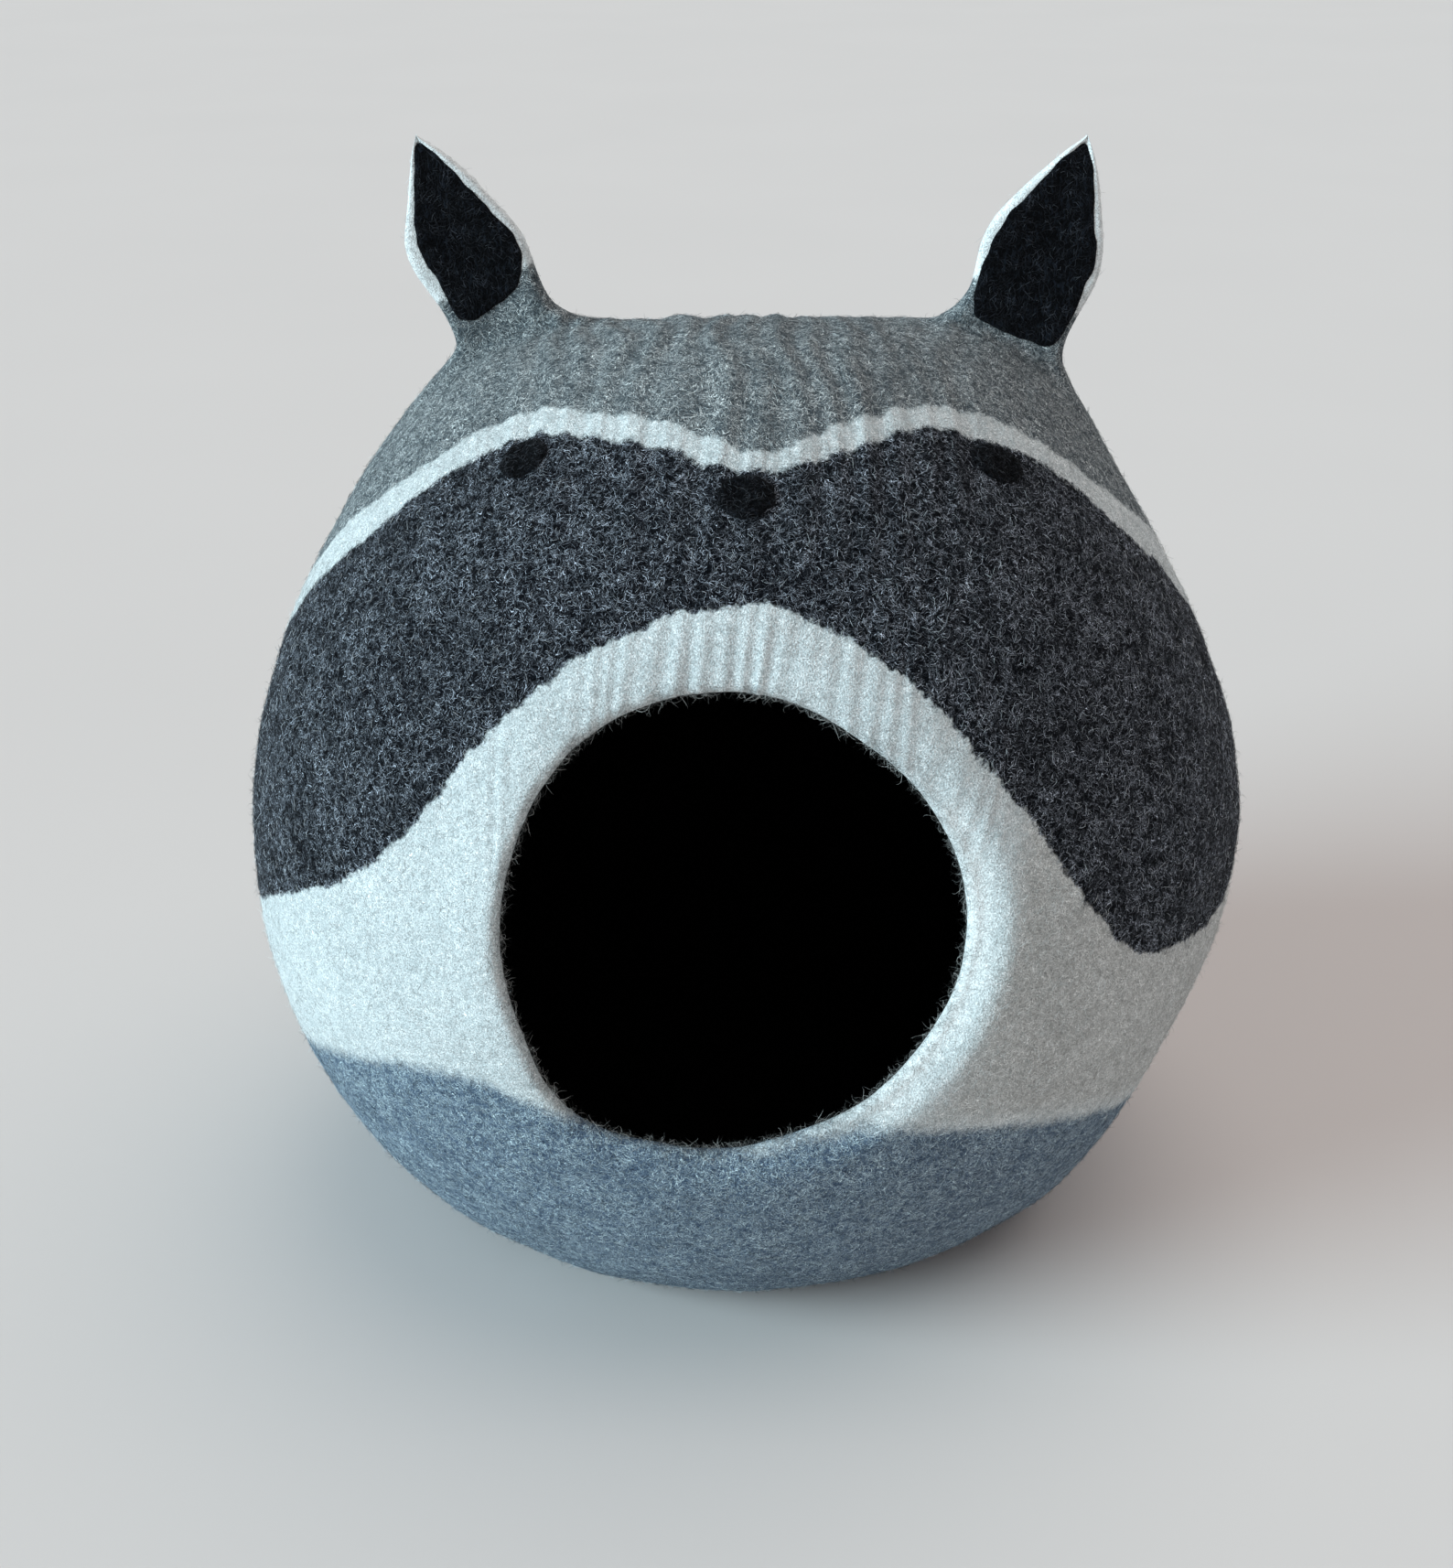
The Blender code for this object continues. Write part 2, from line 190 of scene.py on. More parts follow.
def wall_rows():
    """Rows from the pod's back over the outside, round the lip and along the inside.

    Each is its share of the way from the edge of the hole to the back, how far in from the edge
    it is for the lip's roll, its depth in the wall, and how far along the felt it lies past the
    middle of the lip's edge.
    """
    lip_half = math.radians(ENTRANCE_HALF_DEG)
    span = math.pi - lip_half
    lip_share = LIP_WIDTH / POD_HALF_DEPTH / span
    edge_share = WALL / 2 / POD_HALF_DEPTH / span
    ear_share = (math.radians(EAR_ROW_DEG) - lip_half) / span
    ear_step = math.radians(EAR_ROW_STEP_DEG) / span
    reach = POD_HALF_DEPTH * span
    half_edge = WALL * math.pi / 4 - WALL / 2

    face = spaced(lip_share, ear_share - ear_step, FACE_ROWS)
    back = spaced(ear_share + ear_step, 1, BACK_ROWS + 1)[:-1]
    outer = reversed([*face, ear_share, *back])
    rows = [(share, share * reach, 0, -share * reach - half_edge) for share in outer]
    ear_row = len(back)
    for share in reversed(spaced(edge_share, lip_share, LIP_ROWS + 1)[:-1]):
        rows.append((share, share / lip_share * LIP_WIDTH, 0, -share * reach - half_edge))
    for step in range(1, EDGE_ROWS):
        around = math.pi * step / EDGE_ROWS
        share = edge_share * (1 - math.sin(around))
        depth = WALL / 2 * (1 - math.cos(around))
        rows.append((share, WALL / 2, depth, WALL / 2 * (around - math.pi / 2)))
    for share in spaced(edge_share, lip_share, LIP_ROWS):
        rows.append((share, share / lip_share * LIP_WIDTH, WALL, share * reach + half_edge))
    for share in spaced(lip_share, 1, LINING_ROWS + 1)[1:-1]:
        rows.append((share, share * reach, WALL, share * reach + half_edge))
    return rows, ear_row


# ------------------------------------------------------------------------------------------
# The ears. Each is a leaf of the same felt, pinched out of the wall behind the brow and
# felted flat between the fingers, so its foot runs into the head in a soft flare.
# ------------------------------------------------------------------------------------------
Ear = namedtuple("Ear", "side column foot lean_deg length half_width bow web")
EARS = [
    Ear("left", -5, (-0.1020, 0.035, 0.408), -23, 0.0885, 0.0255, 0.0026, 0.0),
    Ear("right", 6, (0.1186, 0.035, 0.402), 18, 0.0920, 0.0275, 0.0, 0.010),
]
EAR_HALF_COLUMNS = 3

# Going up an ear: its height and its width, as shares, and half of its thickness.
EAR_SECTIONS = (
    (0.04, 0.92, 0.0086), (0.10, 0.88, 0.0072), (0.20, 0.89, 0.0057), (0.30, 0.95, 0.0048),
    (0.40, 1.00, 0.0045), (0.48, 0.98, 0.0045), (0.56, 0.91, 0.0044), (0.64, 0.79, 0.0043),
    (0.72, 0.65, 0.0041), (0.80, 0.50, 0.0039), (0.88, 0.34, 0.0036), (0.95, 0.18, 0.0030),
    (1.00, 0.02, 0.0015),
)
EAR_HEIGHTS, EAR_WIDTHS, EAR_HALF_THICKNESSES = zip(*EAR_SECTIONS)
# Going out from an ear's middle: the share of its half width, and how thick it still is.
LEAF_SHARES = (0.0, 0.40, 0.80, 0.94)
LEAF_THICKNESSES = (1.0, 1.0, 1.0, 0.70)
EAR_CUP = 0.003
EAR_BOW_HEIGHT = 0.57 # the left ear's middle bows outwards about here
EAR_BOW_SPREAD = 0.16
EAR_WEB_HEIGHT = 0.022    # below this the right ear's inner edge spreads into the crown
FLARE_ROWS = 5
FLARE_HEIGHT = 0.016  # the flare counts as this much below the leaf when the wool changes colour
NECK_STEP = 0.003
LONGEST_DROP = 0.060
HALVINGS = 20


def ear_size(ear, height):
    share = height / ear.length
    half_width = read_off(share, EAR_HEIGHTS, EAR_WIDTHS) * ear.half_width
    return half_width, read_off(share, EAR_HEIGHTS, EAR_HALF_THICKNESSES)


def ear_point(ear, height, across_by, face):
    """A point on the front (face 1), the back (face -1) or the edge (face 0) of the leaf."""
    lean = math.radians(ear.lean_deg)
    up = Vector((math.sin(lean), 0, math.cos(lean)))
    across = Vector((math.cos(lean), 0, -math.sin(lean)))
    half_width, half_thickness = ear_size(ear, height)
    share = min(abs(across_by) / half_width, 1)
    thick = read_off(share, LEAF_SHARES, LEAF_THICKNESSES)
    forward = EAR_CUP * share ** 2 + face * (half_thickness * thick)
    bow = ear.bow * bell(height / ear.length - EAR_BOW_HEIGHT, EAR_BOW_SPREAD)
    shift = math.copysign(bow, ear.lean_deg)
    if across_by * ear.lean_deg < 0:
        web = ear.web * share * max(0, 1 - height / EAR_WEB_HEIGHT) ** 2
        shift += math.copysign(web, across_by)
    return Vector(ear.foot) + up * height + across * (across_by + shift) - Vector((0, forward, 0))


def ear_ring(ear, height):
    half_width, _ = ear_size(ear, height)
    shares = [-share for share in LEAF_SHARES[:0:-1]] + list(LEAF_SHARES)
    left_edge = ear_point(ear, height, -half_width, 0)
    front = [ear_point(ear, height, share * half_width, 1) for share in shares]
    right_edge = ear_point(ear, height, half_width, 0)
    back = [ear_point(ear, height, share * half_width, -1) for share in reversed(shares)]
    return [left_edge, *front, right_edge, *back]


def drop_to_pod(point, higher):
    up = (higher - point).normalized()
    low, high = 0, LONGEST_DROP
    for _ in range(HALVINGS):
        middle = (low + high) / 2
        from_centre = point - up * middle - POD_CENTRE
        if from_centre.length > pod_radius(from_centre.normalized()):
            low = middle
        else:
            high = middle
    return point - up * high


def flare(start, corner, end, share):
    """Along the pod from start towards the corner, then up to the end."""
    along = start.lerp(corner, 1 - (1 - share) ** 2) - POD_CENTRE
    return pod_point(along.normalized(), 0) + (end - corner) * share ** 2


# ------------------------------------------------------------------------------------------
# The felt itself: pod, lip, lining and ears are one closed wall of wool, felted by hand. Each
# point of it remembers how far it lies past the lip's edge and how high up an ear it is, so
# that the wools laid into it can change colour there.
# ------------------------------------------------------------------------------------------
FAR_FROM_LIP = -0.25
SMOOTHING = 2


class FeltRings:
    """Rings of equal length, laid one after another and closed by a fan about one point."""

    def __init__(self):
        self.points = []
        self.past_lip = []
        self.ear_height = []
        self.faces = []
        self.rows = []

    def add_point(self, point, past_lip=FAR_FROM_LIP, ear_height=-FLARE_HEIGHT):
        self.points.append(tuple(point))
        self.past_lip.append(past_lip)
        self.ear_height.append(ear_height)
        return len(self.points) - 1

    def fan(self, ring, hub, outwards):
        for here, after in zip(ring, ring[1:] + ring[:1]):
            self.faces.append((here, after, hub) if outwards else (after, here, hub))

    def band(self, ring, after_ring, skip=()):
        count = len(ring)
        for i in range(count):
            if i not in skip:
                k = (i + 1) % count
                self.faces.append((ring[i], ring[k], after_ring[k], after_ring[i]))


def draw_out_ear(felt, ear, ear_row):
    near, middle, far = (felt.rows[ear_row + step] for step in (1, 0, -1))
    steps = range(-EAR_HALF_COLUMNS, EAR_HALF_COLUMNS + 1)
    columns = [(ear.column + step) % COLUMNS for step in steps]
    loop = [middle[columns[0]], *(near[i] for i in columns), middle[columns[-1]]]
    loop += [far[i] for i in reversed(columns)]

    patch_edge = [Vector(felt.points[i]) for i in loop]
    neck_height = EAR_HEIGHTS[0] * ear.length
    neck = ear_ring(ear, neck_height)
    corners = [drop_to_pod(*side) for side in zip(neck, ear_ring(ear, neck_height + NECK_STEP))]
    rings = []
    for row in range(1, FLARE_ROWS + 1):
        share = row / (FLARE_ROWS + 1)
        ring = [flare(*curve, share) for curve in zip(patch_edge, corners, neck)]
        rings.append((ring, (share - 1) * FLARE_HEIGHT))
    for share in EAR_HEIGHTS:
        rings.append((ear_ring(ear, share * ear.length), share * ear.length))
    for points, height in rings:
        ring = [felt.add_point(point, ear_height=height) for point in points]
        felt.band(loop, ring)
        loop = ring
    tip = ear_point(ear, ear.length + EAR_HALF_THICKNESSES[-1], 0, 0)
    felt.fan(loop, felt.add_point(tip, ear_height=ear.length), outwards=True)


def felt_one_piece():
    felt = FeltRings()
    profile, ear_row = wall_rows()
    for share, away, depth, past_lip in profile:
        ring = []
        for column in range(COLUMNS):
            turn = column * COLUMN_STEP
            edge = lip_angle(turn)
            direction = entrance_direction(turn, edge + (math.pi - edge) * share)
            point = pod_point(direction, depth + lip_roll(away, turn))
            ring.append(felt.add_point(point, past_lip))
        felt.rows.append(ring)
    ear_quads = {(ear.column + step) % COLUMNS
                 for ear in EARS for step in range(-EAR_HALF_COLUMNS, EAR_HALF_COLUMNS)}
    for row in range(len(felt.rows) - 1):
        at_ear = row in (ear_row - 1, ear_row)
        felt.band(felt.rows[row + 1], felt.rows[row], skip=ear_quads if at_ear else ())
    for ring, depth, past_lip, outwards in (
        (felt.rows[0], 0, FAR_FROM_LIP, True),
        (felt.rows[-1], WALL, -FAR_FROM_LIP, False),
    ):
        felt.fan(ring, felt.add_point(pod_point(-ENTRANCE_AXIS, depth), past_lip), outwards)
    for ear in EARS:
        draw_out_ear(felt, ear, ear_row)
    return felt


def set_mark(mesh, name, values):
    mark = mesh.attributes.get(name) or mesh.attributes.new(name, "FLOAT", "POINT")
    mark.data.foreach_set("value", np.asarray(values, dtype=np.float32))


def read_all(items, name, width=1, kind=np.float32):
    values = np.zeros(len(items) * width, dtype=kind)
    items.foreach_get(name, values)
    return values.reshape(-1, width) if width > 1 else values


def get_mark(mesh, name):
    return read_all(mesh.attributes[name].data, "value")


def vertex_places(mesh):
    return read_all(mesh.vertices, "co", 3, float)


def vertex_outwards(mesh):
    return read_all(mesh.vertex_normals, "vector", 3).astype(float)


def put_in_scene(name, data):
    thing = bpy.data.objects.new(name, data)
    bpy.context.collection.objects.link(thing)
    return thing


def smoothed_mesh(name, points, faces, marks, levels):
    """The faces with Blender's subdivision applied, and without points that no face uses."""
    used = sorted({index for face in faces for index in face})
    place = {index: number for number, index in enumerate(used)}
    rough = bpy.data.meshes.new(name + "_rough")
    renumbered = [tuple(place[index] for index in face) for face in faces]
    rough.from_pydata([points[index] for index in used], [], renumbered)
    for mark, values in marks.items():
        set_mark(rough, mark, [values[index] for index in used])
    holder = put_in_scene(name + "_rough", rough)
    smoothing = holder.modifiers.new("smoothing", "SUBSURF")
    smoothing.levels = smoothing.render_levels = levels
    smoothed = holder.evaluated_get(bpy.context.evaluated_depsgraph_get())
    mesh = bpy.data.meshes.new_from_object(smoothed)
    mesh.name = name
    bpy.data.objects.remove(holder)
    bpy.data.meshes.remove(rough)
    return mesh


def add_piece(name, mesh, material):
    mesh.materials.clear()
    mesh.materials.append(material)
    mesh.shade_smooth()
    return put_in_scene(name, mesh)


FINE_HALF_WIDTH = 0.125  # the ribbed part over the entrance, which needs a finer mesh
FINE_FROM_RISE = 0.055
FINE_TO_DEPTH = 0.030


def refine_ribbed_part(mesh):
    work = bmesh.new()
    work.from_mesh(mesh)
    past_lip = work.verts.layers.float["past_lip"]
    ear_height = work.verts.layers.float["ear_height"]
    ribbed_edges = set()
    for part in work.faces:
        middle = part.calc_center_median()
        outer = all(v[past_lip] < 0 and v[ear_height] < 0 for v in part.verts)
        if outer and abs(middle.x) < FINE_HALF_WIDTH and middle.y < FINE_TO_DEPTH:
            if middle.z - POD_CENTRE.z > FINE_FROM_RISE:
                ribbed_edges.update(part.edges)
    bmesh.ops.subdivide_edges(work, edges=list(ribbed_edges), cuts=1, use_grid_fill=True)
    work.to_mesh(mesh)
    work.free()


felt = felt_one_piece()
shell_mesh = smoothed_mesh(
    "shell_felt", felt.points, felt.faces,
    {"past_lip": felt.past_lip, "ear_height": felt.ear_height}, SMOOTHING,
)
refine_ribbed_part(shell_mesh)

# Hand felting leaves low lumps all over. Where the wool above the entrance was drawn in to the
# lip it stands in close soft ribs, and wider, fainter ones run over the head.
LUMP_SIZES = ((0.034, 0.0009), (0.013, 0.00035))    # width and height of the lumps
EAR_LUMPS = 0.5       # the ears are felted flatter, so their lumps are lower
Ribs = namedtuple("Ribs", "pitch depth lean half_span from_rise full_rise to_rise seed")
RIB_GROUPS = [
    Ribs(0.0084, 0.00070, 0.12, 0.090, 0.060, 0.095, 0.190, 3.1),
    Ribs(0.0140, 0.00125, 0.05, 0.115, 0.175, 0.215, 0.400, 8.7),
]
RIBS_FROM_RISE = 0.05
RIBS_TO_DEPTH = 0.03  # they end in front of the ears
RIB_FADE = 0.03       # length over which a group ends at its top
RIB_DRIFT = 0.050     # length over which ribs drift sideways and change in depth
RIB_WANDER = 0.9      # how far a rib strays sideways, in ribs
RIB_WAVE = 0.75       # height of the even wave, and of the uneven one added to it
RIB_UNEVEN = 0.9
RIB_STRENGTH = 0.75   # of the even wave, and how much it changes along the ribs
RIB_CHANGE = 0.8
# For each random change: its width in ribs, its seed's step, and how fast it goes along them.
WANDERING = (3.0, 0, 1.0)
UNEVENNESS = (0.62, 5, 0.7)
STRENGTH_CHANGE = (1.7, 9, 1.3)


def lump_height(place):
    return sum(height * noise.noise(place / width) for width, height in LUMP_SIZES)


def up_to(share):
    return min(max(share, 0), 1)


def rib_height(place):
    """How far the ribs lift the outer felt at a place in front of the ears."""
    rise = place.z - POD_CENTRE.z
    if rise < RIBS_FROM_RISE or place.y > RIBS_TO_DEPTH:
        return 0
    height = 0
    along = (place.z - place.y) / RIB_DRIFT

    def random_at(ribs_wide, seed_step, speed):
        return noise.noise(Vector((across / ribs_wide, ribs.seed + seed_step, along * speed)))

    for ribs in RIB_GROUPS:
        shown = up_to((rise - ribs.from_rise) / (ribs.full_rise - ribs.from_rise))
        shown *= up_to((ribs.to_rise - rise) / RIB_FADE) * bell(place.x, ribs.half_span)
        across = (place.x - ribs.lean * (rise - ribs.full_rise)) / ribs.pitch
        across += RIB_WANDER * random_at(*WANDERING)
        strength = RIB_STRENGTH + RIB_CHANGE * random_at(*STRENGTH_CHANGE)
        wave = RIB_WAVE * strength * math.sin(math.tau * across)
        height += shown * ribs.depth * (wave + RIB_UNEVEN * random_at(*UNEVENNESS))
    return height


places = vertex_places(shell_mesh)
outwards = vertex_outwards(shell_mesh)
past_lip = get_mark(shell_mesh, "past_lip")
ear_height = get_mark(shell_mesh, "ear_height")
ribbed = np.zeros(len(places))
for i, (x, y, z) in enumerate(places):
    place = Vector((x, y, z))
    height = lump_height(place)
    if past_lip[i] < 0 and ear_height[i] < 0:
        ribbed[i] = rib_height(place)
        height += ribbed[i]
    if ear_height[i] > 0:
        height *= EAR_LUMPS
    pressed = min(z / BASE_BEND, 1) if past_lip[i] < 0 else 1
    places[i] += outwards[i] * height * pressed
places[:, 2] = np.maximum(places[:, 2], 0)
shell_mesh.vertices.foreach_set("co", places.ravel())
shell_mesh.update()


# ------------------------------------------------------------------------------------------
# The markings. Batts of other wools are laid over the grey ground before it is felted: a pale
# muzzle band round the entrance, a charcoal mask and a thin pale brow line over it. They wrap
# a little past the sides and end there, and the blue-grey base goes all round.
# ------------------------------------------------------------------------------------------
# Each band's lower edge: turns round the pod and rises over its middle, in degrees.
BAND_LINES = {
    "above_base": (
        (-135, -36), (-90, -24), (-70, -17), (-58, -12), (-48, -8), (-37, -5), (-28, -4), (-21, -7),
        (0, -12), (10, -9), (19, -8), (28, -11), (37, -13), (46, -16), (57, -20), (75, -26),
        (95, -31), (135, -36),
    ),
    "above_muzzle": (
        (-111, 2), (-103, -4.5), (-95, -7), (-80, -3), (-67, 4), (-56, 10), (-46, 16.4),
        (-40, 22.6), (-35, 30.6), (-29, 38.2), (-23, 43.2), (-16, 47.2), (-8, 49.6), (2, 50.8),
        (9, 49.2), (15, 46.8), (20, 43.2), (26, 37.2), (31, 30.8), (35, 25.4), (39, 18.2),
        (43, 11.2), (48, 5.0), (56, 3.2), (66, 1.5), (76, 3), (95, 4), (104, 5), (112, 9),
    ),
    "above_mask": (
        (-126, -36), (-118, -6), (-111, 6), (-103, 15.5), (-90, 26), (-77, 38.4), (-70, 45.4),
        (-66, 50.4), (-60, 57.6), (-52, 63.4), (-38, 65.4), (-24, 66.1), (-12, 65.2), (-4, 63.9),
        (4, 63.4), (12, 63.8), (24, 65), (36, 66), (48, 65), (58, 61.6), (66, 56.2), (71, 49.6),
        (75, 44), (80, 37.5), (90, 27), (102, 19.5), (111, 10), (118, -4), (126, -36),
    ),
    "above_brow": (
        (-131, -36), (-124, -12), (-115, 11), (-105, 23), (-92, 33), (-84, 40), (-77, 47),
        (-70, 54.8), (-65, 61), (-55, 66.3), (-39, 68.4), (-24, 68.9), (-12, 68.1), (-4, 66.6),
        (3, 65.5), (14, 66.5), (27, 68.2), (40, 68.5), (53, 67.2), (61, 64.8), (66, 62.2),
        (70, 58.4), (77, 50), (82, 45), (90, 38.6), (98, 31.5), (106, 25), (115, 14), (124, -9),
        (131, -36),
    ),
}
LINE_STEPS = 721
CORNER_ROUNDING = 6   # steps of half a degree over which a line's corners are rounded
LEAST_LEVEL = 0.05    # keeps the slope of a line from growing without end over the crown


def drawn_line(points):
    """Turns and rises of a line through the points, its corners rounded."""
    turns = np.linspace(-180, 180, LINE_STEPS)
    rises = np.interp(turns, *zip(*points))
    reach = np.arange(-3 * CORNER_ROUNDING, 3 * CORNER_ROUNDING + 1)
    brush = np.exp(-0.5 * (reach / CORNER_ROUNDING) ** 2)
    padded = np.pad(rises, len(reach) // 2, mode="edge")
    return turns, np.convolve(padded, brush / brush.sum(), mode="valid")


def band_marks(places):
    """How far above each line every place lies."""
    from_centre = places - np.array(POD_CENTRE)
    reach = np.linalg.norm(from_centre, axis=1)
    turn = np.degrees(np.arctan2(from_centre[:, 0], -from_centre[:, 1]))
    rise = np.degrees(np.arcsin(np.clip(from_centre[:, 2] / reach, -1, 1)))
    level = np.maximum(np.cos(np.radians(rise)), LEAST_LEVEL)
    marks = {}
    for name, points in BAND_LINES.items():
        turns, rises = drawn_line(points)
        slope = np.interp(turn, turns, np.gradient(rises, turns)) / level
        gap = np.radians(rise - np.interp(turn, turns, rises)) * reach
        marks[name] = gap / np.sqrt(1 + slope ** 2)
    return marks


def round_entrance(places):
    """The turn of every place round the entrance, in degrees, 0 at its top."""
    from_centre = places - np.array(POD_CENTRE)
    rightwards, upwards = (from_centre @ np.array(way) for way in (ENTRANCE_RIGHT, ENTRANCE_UP))
    return np.degrees(np.arctan2(rightwards, upwards))


EDGE_PER_RIB = 1.1        # a border shifts by this much for each unit of a rib's height
PALE_LEFT_EDGE = 0.0055   # the pale wool goes this much further over the lip's edge on the left
BEIGE_FROM_LIP = 0.0125   # to the right of the entrance, on its shaded side, painted shade in darker beige starts here
BEIGE_FALL = 0.300
BEIGE_SPREAD_DEG = 150
LIP_HIGHLIGHT_REACH = 0.0085        # and a painted highlight in white wool on the lip itself
LIP_HIGHLIGHT_SHARE = 0.55    # where the right side's share is over this
LIP_HIGHLIGHT_FALL = 0.020
OVER_BASE = 0.006         # both end this far above the base

entrance_turn = round_entrance(places)
left_turn = turned_from(entrance_turn, LIP_LEFT_DEG)
right_turn = turned_from(entrance_turn, LIP_RIGHT_DEG)
left_share = np.exp(-(left_turn / LIP_SIDE_SPREAD_DEG) ** 2)
right_share = np.exp(-(right_turn / LIP_SIDE_SPREAD_DEG) ** 2)
# Painted shade: the muzzle's right side, turned from the light, is laid in a darker, warmer beige
# wool.
painted_shade_fade = BEIGE_FALL * (1 - np.exp(-(right_turn / BEIGE_SPREAD_DEG) ** 2))
band_places = band_marks(places)
over_base = band_places["above_base"] - OVER_BASE
painted_shade_side = -past_lip - BEIGE_FROM_LIP - painted_shade_fade
painted_shade_side = np.minimum(painted_shade_side, np.minimum(over_base, places[:, 0]))
# Painted highlight: white wool on the right of the lip, where its turned-in edge faces the light.
painted_lip_highlight = np.minimum(LIP_HIGHLIGHT_REACH + past_lip, LIP_HIGHLIGHT_FALL * (right_share - LIP_HIGHLIGHT_SHARE))

for name, values in band_places.items():
    set_mark(shell_mesh, name, values - EDGE_PER_RIB * ribbed)
set_mark(shell_mesh, "painted_shade_side", painted_shade_side)
set_mark(shell_mesh, "painted_lip_highlight", np.minimum(painted_lip_highlight, over_base))
set_mark(shell_mesh, "into_hole", past_lip - PALE_LEFT_EDGE * left_share)


# ------------------------------------------------------------------------------------------
# The wool's finish. Wet-felted wool is matte, its surface a mat of short curled strands that
# catch the light on a darker ground. One wool runs into the next over a millimetre or two,
# strand by strand, and the lining and the lip's inner edge are black.
# ------------------------------------------------------------------------------------------
CURL_SIZE = 0.0024        # of the curls in a lying strand, and how far they carry it aside
CURL_REACH = 0.0026
MIDDLE_TONE = (0.5, 0.5, 0.5)     # a random tone's middle, which shifts nothing
SEED_SHIFT = (0.731, 0.377, 0.193)
STRAND_BEND = 1.2         # how far the strands of a lock curve, over its size
STRAND_CORE = 0.35        # share of a strand's half width that is fully bright
CHANCE_SPREAD = 97.3      # keeps the chances of two locks apart
CROSS_SLANT = 0.9         # strands that cross the others slant up to this much
CROSS_SPACING = 1.2       # and lie further apart, and finer
CROSS_WIDTH = 0.85
LOCK_FADE = (0.55, 0.90)  # shares of a lock's size between which its strands fade out
SHEEN_ROUGHNESS = 0.5
WOOL_SHINE = 0.04


